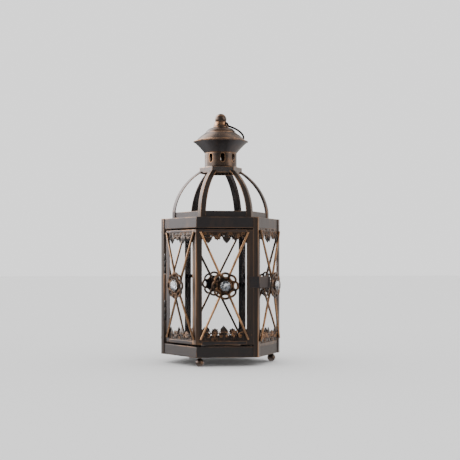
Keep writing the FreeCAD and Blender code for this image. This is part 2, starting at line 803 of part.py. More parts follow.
def knuckle(low, high):
    barrel = disc(barrel_radius, low, high, hinge_line, -hinge_depth)
    bore_radius = pin_radius + pin_clearance
    return barrel, disc(bore_radius, low - overrun_length, high + overrun_length, hinge_line, -hinge_depth)


def hinge_side(height, side):
    # side -1 is the post's half with two knuckles, side 1 the door's half with one between them
    low, high = height - hinge_length / 2, height + hinge_length / 2
    inner_low, inner_high = height - door_knuckle_length / 2, height + door_knuckle_length / 2
    if side < 0:
        strip_edge, back, out = left_post_edge, post_inner - hinge_leaf_thickness, post_inner
        spans = [(low, inner_low - knuckle_gap), (inner_high + knuckle_gap, high)]
    else:
        strip_edge, back, out = hinge_stile_left, door_inner - hinge_leaf_thickness, door_inner
        spans = [(inner_low, inner_high)]
    free_edge = hinge_line + side * (barrel_radius + barrel_gap)
    start, end = sorted((free_edge, strip_edge + side * hinge_leaf_lap))
    pieces = [face_box(start, end, back, out, low, high)]
    holes = []
    for near, far in spans:
        barrel, hole = knuckle(near, far)
        start, end = sorted((hinge_line, free_edge + side * barrel_gap))
        pieces += [barrel, face_box(start, end, back, out, near, far)]
        holes.append(hole)
    return joined(pieces).cut(Part.makeCompound(holes))


def add_hinges():
    left = door_turns["left"]
    save("post_hinge_leaves", Part.makeCompound([to_face(hinge_side(h, -1), left) for h in hinge_heights]))
    save("door_hinge_leaves", Part.makeCompound([to_face(hinge_side(h, 1), left) for h in hinge_heights]))
    pins = []
    for height in hinge_heights:
        low, high = height - hinge_length / 2, height + hinge_length / 2
        shank = disc(pin_radius, low, high, hinge_line, -hinge_depth)
        head = disc(pin_head_radius, high, high + pin_head_height, hinge_line, -hinge_depth)
        pins.append(to_face(joined([shank, head]), left))
    save("hinge_pins", Part.makeCompound(pins))


def add_latch():
    # the strip's inside line on the front face, as (across, out) points
    bend = post_half_face + latch_bend_reach
    line = [(latch_stile_right - latch_lap, door_outer), (bend, door_outer)]
    runs = ((latch_tail_length, -latch_tail_turn), (latch_curl_length, latch_curl_turn - latch_tail_turn))
    for length, turn in runs:
        x, out = line[-1]
        line.append((x + length * math.cos(math.radians(turn)), out + length * math.sin(math.radians(turn))))
    low = latch_middle - latch_height / 2
    pieces = []
    for start, end in zip(line[:-1], line[1:]):
        turn = math.atan2(end[1] - start[1], end[0] - start[0])
        side = (-math.sin(turn) * latch_thickness, math.cos(turn) * latch_thickness)
        corners = [start, end, (end[0] + side[0], end[1] + side[1]),
                   (start[0] + side[0], start[1] + side[1])]
        pieces.append(prism([(x, -out) for x, out in corners], low, low + latch_height))
    knee = Part.makeCylinder(latch_thickness, latch_height, V(bend, -door_outer, low))
    outside = face_box(bend - latch_thickness, bend + latch_thickness * 2, door_outer,
                       door_outer + latch_thickness * 2, low, low + latch_height)
    pieces.append(knee.common(outside))
    save("latch_strip", joined(pieces))


def main():
    os.makedirs("parts", exist_ok=True)
    add_base()
    add_candle_cup()
    add_posts()
    add_shoulder()
    add_ribs()
    add_collar()
    add_chimney()
    add_hood()
    add_lid()
    add_finial()
    add_hanging_ring()
    add_rods_and_rosettes()
    add_lace()
    add_panes()
    add_tabs()
    add_door_frame()
    add_hinges()
    add_latch()


main()
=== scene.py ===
import json
import math

import bpy
from mathutils import Matrix, Vector


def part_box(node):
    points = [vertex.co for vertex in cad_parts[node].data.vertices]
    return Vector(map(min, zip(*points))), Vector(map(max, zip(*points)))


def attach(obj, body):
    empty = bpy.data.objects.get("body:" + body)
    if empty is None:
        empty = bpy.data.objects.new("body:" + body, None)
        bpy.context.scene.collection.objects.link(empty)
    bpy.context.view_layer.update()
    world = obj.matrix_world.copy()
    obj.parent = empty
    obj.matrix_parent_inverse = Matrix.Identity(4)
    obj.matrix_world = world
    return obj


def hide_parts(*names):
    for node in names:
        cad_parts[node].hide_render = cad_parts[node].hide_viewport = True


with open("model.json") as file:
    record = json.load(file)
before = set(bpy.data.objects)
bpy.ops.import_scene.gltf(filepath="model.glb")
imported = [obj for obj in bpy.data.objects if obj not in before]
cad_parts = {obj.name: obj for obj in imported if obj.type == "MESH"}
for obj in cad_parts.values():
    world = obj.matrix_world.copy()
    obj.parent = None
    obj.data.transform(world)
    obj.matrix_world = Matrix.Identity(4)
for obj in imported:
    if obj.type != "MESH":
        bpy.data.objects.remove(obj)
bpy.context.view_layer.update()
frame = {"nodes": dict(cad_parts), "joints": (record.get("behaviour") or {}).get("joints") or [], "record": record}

# A six-sided candle lantern in antique bronze with copper-rubbed edges.
# The CAD part stands at its real size. The script works in metres, and mm turns millimetres into them.

mm = 0.001
nodes = frame["nodes"]
slotOf = {part["node"]: part["material_slot"] for part in frame["record"]["subparts"]}
bodyOf = {}
for bodyName, members in frame["record"]["behaviour"]["bodies"].items():
    bodyOf.update(dict.fromkeys(members, bodyName))
print("frame loaded:", len(nodes), "parts")

# Each glazed face by the turn that brings the front face to it, and the room that only its own parts take
frontTurn = 270.0
fixedFaces = {"right": 330.0, "back_right": 30.0, "back": 90.0, "back_left": 150.0}
doorFaces = {"left": 210.0, "front": frontTurn}
faceReach = {"across": 31.0 * mm, "out": 45.0 * mm}

# How near to each other points are merged, in whole meshes, wire paths and flat plates
mergeReach = {"mesh": 0.002 * mm, "path": 0.0005 * mm, "plate": 0.0001 * mm}


# Selecting and shaping, as by hand

def deselectAll():
    if bpy.context.mode != "OBJECT":
        bpy.ops.object.mode_set(mode="OBJECT")
    bpy.ops.object.select_all(action="DESELECT")


def pick(piece):
    deselectAll()
    piece.select_set(True)
    bpy.context.view_layer.objects.active = piece


def editParts(piece, kind="VERT", test=None):
    # into edit mode with the vertices, edges or faces that pass the test selected, or with all of them
    pick(piece)
    bpy.ops.object.mode_set(mode="EDIT")
    bpy.ops.mesh.select_mode(type=kind)
    bpy.ops.mesh.select_all(action="DESELECT" if test else "SELECT")
    if test:
        bpy.ops.object.mode_set(mode="OBJECT")
        group = {"VERT": piece.data.vertices, "EDGE": piece.data.edges, "FACE": piece.data.polygons}[kind]
        for part in group:
            part.select = test(part)
        bpy.ops.object.mode_set(mode="EDIT")


def leaveEdit():
    bpy.ops.object.mode_set(mode="OBJECT")


def newest(name):
    piece = bpy.context.active_object
    piece.name = name
    return piece


def newShape(name, operator, **sizes):
    # a primitive at its size and place, which go into its mesh
    deselectAll()
    operator(**sizes)
    piece = newest(name)
    pick(piece)
    bpy.ops.object.transform_apply(location=True, rotation=True, scale=True)
    return piece


def applyAll(piece):
    # every modifier into the mesh
    pick(piece)
    for modifier in list(piece.modifiers):
        bpy.ops.object.modifier_apply(modifier=modifier.name)


def roundEdges(piece, width, segments=2, angle=28.0, mark=0):
    bevel = piece.modifiers.new("edge", "BEVEL")
    bevel.width = width
    bevel.segments = segments
    bevel.angle_limit = math.radians(angle)
    bevel.material = mark
    applyAll(piece)


def cleanUp(piece, merge=mergeReach["mesh"]):
    # doubles merged and faces turned outwards
    editParts(piece)
    bpy.ops.mesh.remove_doubles(threshold=merge)
    bpy.ops.mesh.normals_make_consistent(inside=False)
    leaveEdit()


def copyOf(piece, name, place=None):
    # another object with its own mesh, moved by the place matrix
    made = bpy.data.objects.new(name, piece.data.copy())
    bpy.context.scene.collection.objects.link(made)
    if place:
        made.data.transform(place)
        if place.is_negative:
            made.data.flip_normals()
    return made


def joinAll(pieces, name):
    deselectAll()
    for piece in pieces:
        piece.select_set(True)
    bpy.context.view_layer.objects.active = pieces[0]
    if len(pieces) > 1:
        bpy.ops.object.join()
    return newest(name)


def throwAway(*pieces):
    for piece in pieces:
        bpy.data.objects.remove(piece, do_unlink=True)


def cutWith(piece, cutter):
    # the cutter's shape taken out of a piece
    cut = piece.modifiers.new("cut", "BOOLEAN")
    cut.operation = "DIFFERENCE"
    cut.object = cutter
    applyAll(piece)
    throwAway(cutter)


def setWearAndPaintedLight(piece, amount):
    # how far the paint is rubbed off at each vertex, and on the stones their painted light: one number, a rule on
    # its place, or a list
    mesh = piece.data
    values = amount
    if callable(amount):
        values = [amount(vertex.co) for vertex in mesh.vertices]
    elif not isinstance(amount, list):
        values = [amount] * len(mesh.vertices)
    layer = mesh.attributes.get("wear") or mesh.attributes.new("wear", "FLOAT", "POINT")
    layer.data.foreach_set("value", values)
    return piece


# the rub scaled down by a share: a painted shade on some faces
def dimForPaintedShade(piece, share):
    values = [0.0] * len(piece.data.vertices)
    piece.data.attributes["wear"].data.foreach_get("value", values)
    setWearAndPaintedLight(piece, [worn * share for worn in values])


def camelName(node):
    words = node.split("_")
    return words[0] + "".join(word.capitalize() for word in words[1:])


def finishFor(node):
    # the record's finish, unless the part has its own
    return finishes[ownFinish.get(node, slotOf[node])]


def finishPiece(piece, node, smooth=32.0):
    # name, finish, shading, and the node that it stands for
    piece.name = camelName(node)
    if not piece.data.materials:
        piece.data.materials.append(finishFor(node))
    pick(piece)
    bpy.ops.object.shade_smooth_by_angle(angle=math.radians(smooth))
    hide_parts(node)
    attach(piece, bodyOf[node])
    return piece


# Places taken from the CAD nodes

def turnBy(degrees):
    return Matrix.Rotation(math.radians(degrees), 4, "Z")


def toFace(turn):
    return turnBy(turn - frontTurn)


def faceBox(node, turn):
    # the lowest and highest corners of what a node has on one face, with that face turned to the front
    back = toFace(turn).inverted()
    places = [back @ vertex.co for vertex in nodes[node].data.vertices]
    places = [place for place in places if abs(place.x) < faceReach["across"] and -place.y > faceReach["out"]]
    return (Vector([min(place[i] for place in places) for i in range(3)]),
            Vector([max(place[i] for place in places) for i in range(3)]))


def standUp(x, depth, height, turn):
    # from flat on the XY plane, outside up, to a face of the lantern
    return toFace(turn) @ Matrix.Translation((x, depth, height)) @ Matrix.Rotation(math.radians(90.0), 4, "X")


# Outlines, turned shapes and wires

def arcThrough(start, middle, end, count):
    # points along the arc from start to end through middle, turning the way that middle lies
    ax, ay = middle[0] - start[0], middle[1] - start[1]
    bx, by = end[0] - start[0], end[1] - start[1]
    cross = (ax * by - ay * bx) * 2
    a2, b2 = ax * ax + ay * ay, bx * bx + by * by
    cx, cy = start[0] + (by * a2 - ay * b2) / cross, start[1] + (ax * b2 - bx * a2) / cross
    radius = math.hypot(start[0] - cx, start[1] - cy)
    first, last = (math.atan2(y - cy, x - cx) for x, y in (start, end))
    sweep = (last - first) % math.tau - (0.0 if cross > 0.0 else math.tau)
    turns = [first + sweep * i / count for i in range(1, count + 1)]
    return [(cx + radius * math.cos(turn), cy + radius * math.sin(turn)) for turn in turns]


def outline(*items, count=10):
    # corners and arcs in millimetres; an arc is a pair of points, its middle and its end
    points = [items[0]]
    for item in items[1:]:
        points += arcThrough(points[-1], *item, count) if isinstance(item[0], tuple) else [item]
    return points


def chain(name, points, closed=False):
    # a chain of edges through points, each extruded from the one before
    piece = newShape(name, bpy.ops.mesh.primitive_plane_add, size=mm, location=(0.0, 0.0, 0.0))
    editParts(piece)
    bpy.ops.mesh.merge(type="CENTER")
    bpy.ops.transform.translate(value=points[0])
    for before, after in zip(points, points[1:]):
        step = Vector(after) - Vector(before)
        bpy.ops.mesh.extrude_region_move(TRANSFORM_OT_translate={"value": step})
    if closed:
        bpy.ops.mesh.select_all(action="SELECT")
        bpy.ops.mesh.edge_face_add()
    leaveEdit()
    return piece


def lathe(name, profile, steps, wall):
    # a profile of (radius, height) in millimetres, spun round the upright axis; a wall's profile is closed
    points = [(radius * mm, 0.0, height * mm) for radius, height in profile]
    piece = chain(name, points + points[:1] if wall else points)
    editParts(piece)
    bpy.ops.mesh.spin(steps=steps, angle=math.tau, center=(0.0, 0.0, 0.0), axis=(0.0, 0.0, 1.0))
    leaveEdit()
    cleanUp(piece)
    return piece


def softCorners(points, reach, steps=4):
    # a path with its corners rounded off
    path = [Vector(points[0])]
    for before, corner, after in zip(points, points[1:], points[2:]):
        corner = Vector(corner)
        start = corner + (Vector(before) - corner).normalized() * reach
        end = corner + (Vector(after) - corner).normalized() * reach
        for i in range(steps + 1):
            t = i / steps
            path.append(start * (1 - t) ** 2 + corner * 2 * t * (1 - t) + end * t ** 2)
    return path + [Vector(points[-1])]


def wireAlong(name, points, radius, closed=False, resolution=1, taper=None):
    # a round wire along a path, by way of a curve with a bevel
    piece = chain(name, list(points) + ([points[0]] if closed else []))
    cleanUp(piece, mergeReach["path"])
    bpy.ops.object.convert(target="CURVE")
    curve = bpy.context.active_object.data
    curve.bevel_depth = radius
    curve.bevel_resolution = resolution
    curve.use_fill_caps = not closed
    if taper:
        spots = list(curve.splines[0].points)
        if (spots[0].co.xyz - Vector(points[0])).length > (spots[-1].co.xyz - Vector(points[0])).length:
            spots.reverse()
        for i, spot in enumerate(spots):
            spot.radius = taper(i / (len(spots) - 1))
    bpy.ops.object.convert(target="MESH")
    piece = newest(name)
    cleanUp(piece)
    return piece


def bead(name, place, radius, flat, rub, segments=8, rings=5):
    ball = newShape(name, bpy.ops.mesh.primitive_uv_sphere_add, segments=segments, ring_count=rings,
                    radius=radius, location=place, scale=(1.0, 1.0, flat))
    return setWearAndPaintedLight(ball, rub)


def ringOf(piece, count, centre=(0.0, 0.0, 0.0)):
    # copies of a piece round a centre in the XY plane; the piece itself becomes the first
    move = Matrix.Translation(centre)
    turns = [Matrix.Rotation(math.tau * i / count, 4, "Z") for i in range(1, count)]
    return [piece] + [copyOf(piece, piece.name, move @ turn @ move.inverted()) for turn in turns]


# Finishes

def feed(tree, node, inputs):
    # links and plain values into a node's sockets, by name or number
    for socket, value in inputs.items():
        if isinstance(value, bpy.types.NodeSocket):
            tree.links.new(value, node.inputs[socket])
        else:
            node.inputs[socket].default_value = value


def shaderNode(tree, kind, inputs=None, **settings):
    made = tree.nodes.new("ShaderNode" + kind)
    for name, value in settings.items():
        setattr(made, name, value)
    feed(tree, made, inputs or {})
    return made


def noiseAt(tree, scale, detail=2.0, stretch=(1.0, 1.0, 1.0), rough=0.55):
    # noise on object coordinates, scale in bumps per metre
    place = shaderNode(tree, "TexCoord").outputs["Object"]
    mapped = shaderNode(tree, "Mapping", {"Vector": place, "Scale": stretch}).outputs["Vector"]
    grain = {"Vector": mapped, "Scale": scale, "Detail": detail, "Roughness": rough}
    return shaderNode(tree, "TexNoise", grain).outputs["Fac"]


def ramp(tree, fac, span, least=0.0, most=1.0):
    # a soft step from least to most, while fac runs over the span
    ends = {"Value": fac, "From Min": span[0], "From Max": span[1], "To Min": least, "To Max": most}
    return shaderNode(tree, "MapRange", ends, interpolation_type="SMOOTHSTEP").outputs["Result"]


def colourMix(tree, fac, first, second):
    return shaderNode(tree, "MixRGB", {"Fac": fac, "Color1": first, "Color2": second}).outputs["Color"]


def sums(tree, kind, first, second):
    return shaderNode(tree, "Math", {0: first, 1: second}, operation=kind).outputs[0]


def newFinish(name):
    material = bpy.data.materials.new(name)
    material.use_nodes = True
    tree = material.node_tree
    return material, tree, tree.nodes["Principled BSDF"]


def agedBronze(name, look):
    # dark bronze paint, rubbed through to copper where the noise or the attribute says; the attribute is wear,
    # with painted shade on some faces and a painted highlight on the feet
    material, tree, shader = newFinish(name)
    wear = shaderNode(tree, "Attribute", attribute_name="wear").outputs["Fac"]
    blotch = noiseAt(tree, look["blotchScale"], look["blotchDetail"], look["stretch"])
    speck = noiseAt(tree, look["speckScale"])
    edge = sums(tree, "MULTIPLY", wear, ramp(tree, blotch, look["edgeSpan"], look["edgeLeast"]))
    field = sums(tree, "MULTIPLY", ramp(tree, blotch, look["fieldSpan"]), look["fieldRub"])
    grain = sums(tree, "MULTIPLY", ramp(tree, speck, look["speckSpan"]), look["speckRub"])
    rub = sums(tree, "MINIMUM", sums(tree, "MAXIMUM", edge, sums(tree, "ADD", field, grain)), 1.0)
    bump = {"Height": speck, "Strength": look["bump"], "Distance": look["bumpDepth"]}
    feed(tree, shader, {
        "Base Color": colourMix(tree, rub, look["dark"], look["copper"]),
        "Metallic": ramp(tree, rub, (0.0, 1.0), *look["metal"]),
        "Roughness": ramp(tree, speck, look["roughSpan"], *look["rough"]),
        "Normal": shaderNode(tree, "Bump", bump).outputs["Normal"],
    })
    return material


# metal is for the paint and the copper, rough is the least and the most, and a span is a range of the noise
even = (1.0, 1.0, 1.0)
bronzeLook = {
    "dark": (0.074, 0.068, 0.069, 1.0), "copper": (0.50, 0.27, 0.14, 1.0), "metal": (0.96, 0.92),
    "rough": (0.32, 0.44), "roughSpan": (0.3, 0.7), "blotchScale": 70.0, "blotchDetail": 4.0,
    "stretch": (1.0, 1.0, 0.35), "edgeSpan": (0.40, 0.60), "edgeLeast": 0.15, "fieldSpan": (0.50, 0.74),
    "fieldRub": 0.06, "speckScale": 900.0, "speckSpan": (0.52, 0.70), "speckRub": 0.05,
    "bump": 0.35, "bumpDepth": 0.05 * mm,
}
wornLook = dict(bronzeLook, dark=(0.072, 0.058, 0.052, 1.0), fieldSpan=(0.42, 0.74), fieldRub=0.15,
                speckRub=0.08, stretch=even, blotchScale=90.0, rough=(0.26, 0.36))
laceLook = dict(bronzeLook, dark=(0.058, 0.050, 0.047, 1.0), fieldRub=0.10, blotchScale=230.0, edgeLeast=0.1,
                stretch=even, rough=(0.28, 0.40))
bronzeLooks = {
    "antique_bronze": bronzeLook,
    "worn_bronze": wornLook,
    "copper_rods": dict(bronzeLook, dark=(0.060, 0.046, 0.038, 1.0), copper=(0.54, 0.30, 0.155, 1.0),
                        fieldRub=0.10, blotchScale=60.0, edgeSpan=(0.36, 0.56), edgeLeast=0.35,
                        stretch=even, rough=(0.24, 0.34)),
    "pressed_lace": laceLook,
    # the left door's lace in a paler paint: a painted light on its lit side
    "pale_lace": dict(laceLook, dark=(0.100, 0.092, 0.088, 1.0)),
    "black_wire": dict(bronzeLook, dark=(0.022, 0.020, 0.020, 1.0), fieldRub=0.03, speckRub=0.01,
                       stretch=even),
    # the base band a little darker and less rubbed: a painted shade at the bottom
    "dark_band": dict(bronzeLook, dark=(0.072, 0.066, 0.065, 1.0), fieldRub=0.03, stretch=even,
                      rough=(0.40, 0.52)),
    "shaded_post": dict(bronzeLook, dark=(0.064, 0.056, 0.053, 1.0)),
    "brushed_bronze": dict(bronzeLook, dark=(0.084, 0.069, 0.062, 1.0), fieldRub=0.20,
                           stretch=(1.0, 1.0, 0.12)),
    # the candle cup and floor plate near black: a painted shade inside the lantern
    "soot": dict(bronzeLook, dark=(0.034, 0.030, 0.029, 1.0), metal=(0.4, 0.92), rough=(0.72, 0.86)),
    "worn_collar": dict(wornLook, dark=(0.125, 0.112, 0.108, 1.0), fieldSpan=(0.44, 0.66), fieldRub=0.08,
                        blotchScale=240.0),
    "rosette_bronze": dict(laceLook, dark=(0.030, 0.026, 0.024, 1.0), blotchScale=180.0),
}
finishes = {slot: agedBronze(camelName(slot), look) for slot, look in bronzeLooks.items()}

# Parts whose finish isn't the one in the record
ownFinish = {}
for finish, members in {
    "dark_band": ["base_band"], "soot": ["candle_cup", "floor_plate"], "shaded_post": ["post_left"],
    "brushed_bronze": ["rib_front_left", "rib_front_right", "post_front_right", "door_latch_stile",
                       "door_corner_post"],
    "pale_lace": ["door_lace_left"], "worn_collar": ["collar"],
    "black_wire": ["glass_tabs", "door_glass_tabs", "post_hinge_leaves", "door_hinge_leaves"],
    "rosette_bronze": [name for name in nodes if "rosette" in name],
}.items():
    ownFinish.update(dict.fromkeys(members, finish))

windowLook = {"tint": (0.012, 0.012, 0.016, 1.0), "smearScale": 40.0, "rough": (0.02, 0.08),
              "roughSpan": (0.35, 0.7), "cover": (0.05, 0.06), "coverSpan": (0.3, 0.75)}
stoneLook = {"tint": (0.97, 0.98, 1.0, 1.0), "ior": 1.65, "dustScale": 300.0, "rough": (0.0, 0.03),
             "roughSpan": (0.4, 0.7)}
foilLook = {"light": (0.92, 0.93, 0.95, 1.0), "shade": (0.16, 0.165, 0.18, 1.0), "lightSpan": (0.25, 0.75),
            "dustScale": 300.0, "rough": (0.08, 0.16), "roughSpan": (0.3, 0.7)}


def windowGlass(look):
    # thin clear glass with a faint grey tint and a few smears
    material, tree, shader = newFinish("windowGlass")
    smear = noiseAt(tree, look["smearScale"])
    feed(tree, shader, {
        "Base Color": look["tint"],
        "Roughness": ramp(tree, smear, look["roughSpan"], *look["rough"]),
        "Alpha": ramp(tree, smear, look["coverSpan"], *look["cover"]),
    })
    return material


def stoneGlass(look):
    material, tree, shader = newFinish("cutGlass")
    feed(tree, shader, {
        "Base Color": look["tint"], "Transmission Weight": 1.0, "IOR": look["ior"],
        "Roughness": ramp(tree, noiseAt(tree, look["dustScale"]), look["roughSpan"], *look["rough"]),
    })
    return material


def stoneFoil(look):
    # the silvered back of a stone, with a painted light: bright at the upper left, dark at the lower right, as its
    # attribute says
    material, tree, shader = newFinish("stoneFoil")
    light = shaderNode(tree, "Attribute", attribute_name="wear").outputs["Fac"]
    feed(tree, shader, {
        "Base Color": colourMix(tree, ramp(tree, light, look["lightSpan"]), look["shade"], look["light"]),
        "Metallic": 1.0,
        "Roughness": ramp(tree, noiseAt(tree, look["dustScale"]), look["roughSpan"], *look["rough"]),
    })
    return material


finishes["window_glass"] = windowGlass(windowLook)
finishes["cut_glass"] = stoneGlass(stoneLook)
foilFinish = stoneFoil(foilLook)
for name, part in nodes.items():
    part.data.materials.clear()
    part.data.materials.append(finishFor(name))
print("finishes made:", len(finishes) + 1)


# Folded and flat sheet parts, with rounded edges and rubbed borders

sheetEdge = {"merge": 0.004 * mm, "flat": 0.7, "round": 0.12 * mm, "border": 0.75 * mm, "narrow": 1.7 * mm,
             "rub": 0.45}
ribEdge = dict(sheetEdge, narrow=1.0 * mm)
smallEdge = dict(sheetEdge, round=0.08 * mm, border=0.3 * mm, narrow=0.9 * mm)
cornerEdge = dict(sheetEdge, border=1.0 * mm, foldReach=1.4 * mm, fade=0.30)
cornerCap = {"height": 2.6 * mm, "rub": 1.0}             # the lowest stretch of the door's corner, coloured full copper
closeUp = {"edge": 0.3 * mm, "reach": 0.14 * mm}         # how far the latch stile closes on the corner post
# how strongly the borders are rubbed, where it isn't the usual amount
rubOf = {"post_front_right": 1.0, "door_corner_post": 0.85, "door_latch_stile": 0.30, "door_hinge_stile": 0.30,
         "latch_strip": 0.12, "post_hinge_leaves": 0.0, "door_hinge_leaves": 0.0, "floor_plate": 0.2,
         "shoulder_plate": 0.4, "glass_tabs": 0.0, "door_glass_tabs": 0.0, "collar": 0.8, "base_band": 0.35,
         "post_back_right": 0.12, "post_back_left": 0.12, "post_right": 0.35, "rib_back_right": 0.12,
         "rib_back_left": 0.12, "rib_front_right": 0.75, "rib_front_left": 0.7, "rib_right": 0.6}


def markBorders(piece, edge, rub):
    # the rounded edges and the cut edges of the sheet are rubbed, and the middle of each wide face is not
    mesh = piece.data
    marks = []
    for face in mesh.polygons:
        longest = max((mesh.vertices[a].co - mesh.vertices[b].co).length for a, b in face.edge_keys)
        marks.append(face.material_index == 0 and face.area / longest > edge["narrow"])
    editParts(piece, "FACE", lambda face: marks[face.index])
    bpy.ops.mesh.inset(thickness=edge["border"], use_boundary=True, use_even_offset=True)
    leaveEdit()
    worn = [rub] * len(mesh.vertices)
    for face in mesh.polygons:
        if face.select:
            for corner in face.vertices:
                worn[corner] = 0.0
        face.material_index = 0
    setWearAndPaintedLight(piece, worn)


def fadeOtherEdges(piece, edge):
    # a front corner is rubbed bright along its fold, and less on its other edges
    places = [vertex.co for vertex in piece.data.vertices]
    fold = max(places, key=lambda place: math.hypot(place.x, place.y))
    wear = piece.data.attributes["wear"].data
    for index, place in enumerate(places):
        if math.hypot(place.x - fold.x, place.y - fold.y) > edge["foldReach"]:
            wear[index].value *= edge["fade"]


def edgeOf(node):
    if node.startswith("rib_"):
        return ribEdge
    return cornerEdge if node in ("post_front_right", "door_corner_post") else sheetEdge


def sheetPiece(node, edge):
    piece = copyOf(nodes[node], camelName(node))
    pick(piece)
    bpy.ops.mesh.customdata_custom_splitnormals_clear()
    editParts(piece)
    bpy.ops.mesh.remove_doubles(threshold=edge["merge"])
    bpy.ops.mesh.tris_convert_to_quads(face_threshold=math.radians(edge["flat"]), shape_threshold=math.pi)
    leaveEdit()
    # the bevel's own faces carry a second finish, only until the borders are marked
    piece.data.materials.append(finishFor(node))
    roundEdges(piece, edge["round"], mark=1)
    markBorders(piece, edge, rubOf.get(node, edge["rub"]))
    piece.data.materials.pop(index=1)
    if "fade" in edge:
        fadeOtherEdges(piece, edge)
    return finishPiece(piece, node)


def closeLatchStile(stile):
    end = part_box("door_latch_stile")[1][0]
    for vertex in stile.data.vertices:
        if vertex.co.x > end - closeUp["edge"]:
            vertex.co.x += closeUp["reach"]


def copperCornerEnd(corner):
    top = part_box("door_corner_post")[0][2] + cornerCap["height"]
    editParts(corner)
    bpy.ops.mesh.bisect(plane_co=(0.0, 0.0, top), plane_no=(0.0, 0.0, 1.0))
    leaveEdit()
    wear = corner.data.attributes["wear"].data
    for vertex in corner.data.vertices:
        if vertex.co.z < top:
            wear[vertex.index].value = cornerCap["rub"]


sheetNodes = [name for name in nodes if name.startswith(("post_", "rib_")) and name != "post_hinge_leaves"]
sheetNodes += ["base_band", "floor_plate", "upper_band", "shoulder_plate", "dome_band", "collar",
               "door_corner_post", "door_hinge_stile", "door_latch_stile", "door_rails", "latch_strip"]
smallNodes = ["post_hinge_leaves", "door_hinge_leaves", "glass_tabs", "door_glass_tabs"]
sheets = {name: sheetPiece(name, edgeOf(name)) for name in sheetNodes}
for name in smallNodes:
    sheetPiece(name, smallEdge)
closeLatchStile(sheets["door_latch_stile"])
copperCornerEnd(sheets["door_corner_post"])
print("sheet parts rounded:", len(sheetNodes) + len(smallNodes))


# Turned parts: hood, lid, finial, candle cup, feet and the vented chimney

turnedLook = {"steps": 96, "fine": 0.9, "round": 0.10 * mm}


def fineOutline(points, longest):
    # the same outline with its long runs divided
    fine = [points[0]]
    for start, end in zip(points, points[1:]):
        count = max(1, math.ceil(math.hypot(end[0] - start[0], end[1] - start[1]) / longest))
        for i in range(1, count + 1):
            fine.append(tuple(a + (b - a) * i / count for a, b in zip(start, end)))
    return fine


def wearNear(spots, height):
    # rubbed at rings of (radius, height above the foot, reach, strength), the first three in millimetres
    def rule(place):
        radius, up = math.hypot(place.x, place.y) / mm, (place.z - height) / mm
        worn = 0.0
        for spotRadius, spotUp, reach, strength in spots:
            gap = math.hypot(radius - spotRadius, up - spotUp) / reach
            worn = max(worn, strength * (1.0 - min(gap, 1.0) ** 2))
        return worn
    return rule


def turnedPiece(node, shape, drill=None):
    # spun from its profile at its node's height, drilled if there is a drill, and rubbed at its rims
    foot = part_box(node)[0][2] + shape.get("stud", 0.0)
    profile = fineOutline(shape["profile"], turnedLook["fine"])
    piece = lathe(camelName(node), profile, shape.get("steps", turnedLook["steps"]), shape["wall"])
    piece.data.transform(Matrix.Translation((0.0, 0.0, foot)))
    roundEdges(piece, turnedLook["round"])
    if drill:
        cutWith(piece, drill)
    setWearAndPaintedLight(piece, wearNear(shape["wear"], foot))
    finishPiece(piece, node)


hoodShape = {
    "profile": outline((17.05, 0.0), ((20.7, 4.4), (28.5, 12.0)), (28.5, 12.5), (27.7, 12.5),
                       ((19.9, 5.2), (16.25, 0.0))),
    "wall": True, "wear": [(28.5, 12.4, 1.0, 0.55), (17.05, 0.0, 0.8, 0.5)],
}
lidShape = {
    "profile": outline((29.3, 0.0), (29.3, 0.5), (26.0, 1.6), ((22.2, 5.4), (16.9, 9.3)), (16.1, 10.1),
                       ((13.9, 13.0), (9.2, 15.0)), (2.7, 15.0), (2.7, 14.2), (9.2, 14.2),
                       ((13.1, 12.2), (15.3, 10.1)), (16.1, 8.5), ((21.4, 4.6), (26.0, 0.8)), (28.5, 0.5),
                       (28.5, 0.0)),
    "wall": True,
    "wear": [(29.3, 0.3, 0.8, 0.75), (26.0, 1.6, 1.2, 0.7), (16.5, 9.7, 1.0, 0.5), (9.2, 15.0, 0.9, 0.4)],
}
turnedPiece("hood", hoodShape)
turnedPiece("lid", lidShape)

ringTurn = 43.0          # how far the ring's pivot is turned round the upright axis
finialShape = {
    "profile": outline((0.0, -4.4), (2.6, -4.4), (2.6, 0.0), (8.5, 0.0), (8.5, 1.1), ((7.2, 3.25), (6.5, 6.5)),
                       (4.9, 6.5), (4.9, 6.9), (5.717, 6.9), ((5.904, 11.196), (0.0, 15.5)), count=16),
    "stud": 4.4 * mm, "steps": 64, "wall": False,
    "wear": [(8.5, 0.9, 0.9, 0.6), (6.7, 4.6, 3.2, 0.65), (4.9, 12.9, 1.8, 0.35)],
    "crossHole": 1.2 * mm, "drillSides": 24, "drillLength": 30.0 * mm,
}


def ringPivot():
    # the ring's pivot height, from its joint
    swing = next(joint for joint in frame["joints"] if joint["name"] == "ring_swing")
    return swing["pos_m"][2]


def crossDrill():
    # the drill for the hole through the bell that the ring's ends turn in
    shape = finialShape
    return newShape("drill", bpy.ops.mesh.primitive_cylinder_add, vertices=shape["drillSides"],
                    radius=shape["crossHole"], depth=shape["drillLength"], location=(0.0, 0.0, ringPivot()),
                    rotation=(math.radians(90.0), 0.0, math.radians(ringTurn)))


turnedPiece("finial", finialShape, crossDrill())

cupShape = {
    "profile": outline((0.0, 0.0), (20.4, 0.0), ((20.82, 0.18), (21.0, 0.6)), (21.0, 6.807),
                       ((21.4, 7.5), (20.6, 8.3)), ((20.034, 8.066), (19.8, 7.5)),
                       ((19.907, 7.1), (20.2, 6.807)), (20.2, 1.0), (20.0, 0.8), (0.0, 0.8), count=6),
    "wall": False, "wear": [(20.6, 8.3, 1.2, 0.3)],
}
turnedPiece("candle_cup", cupShape)

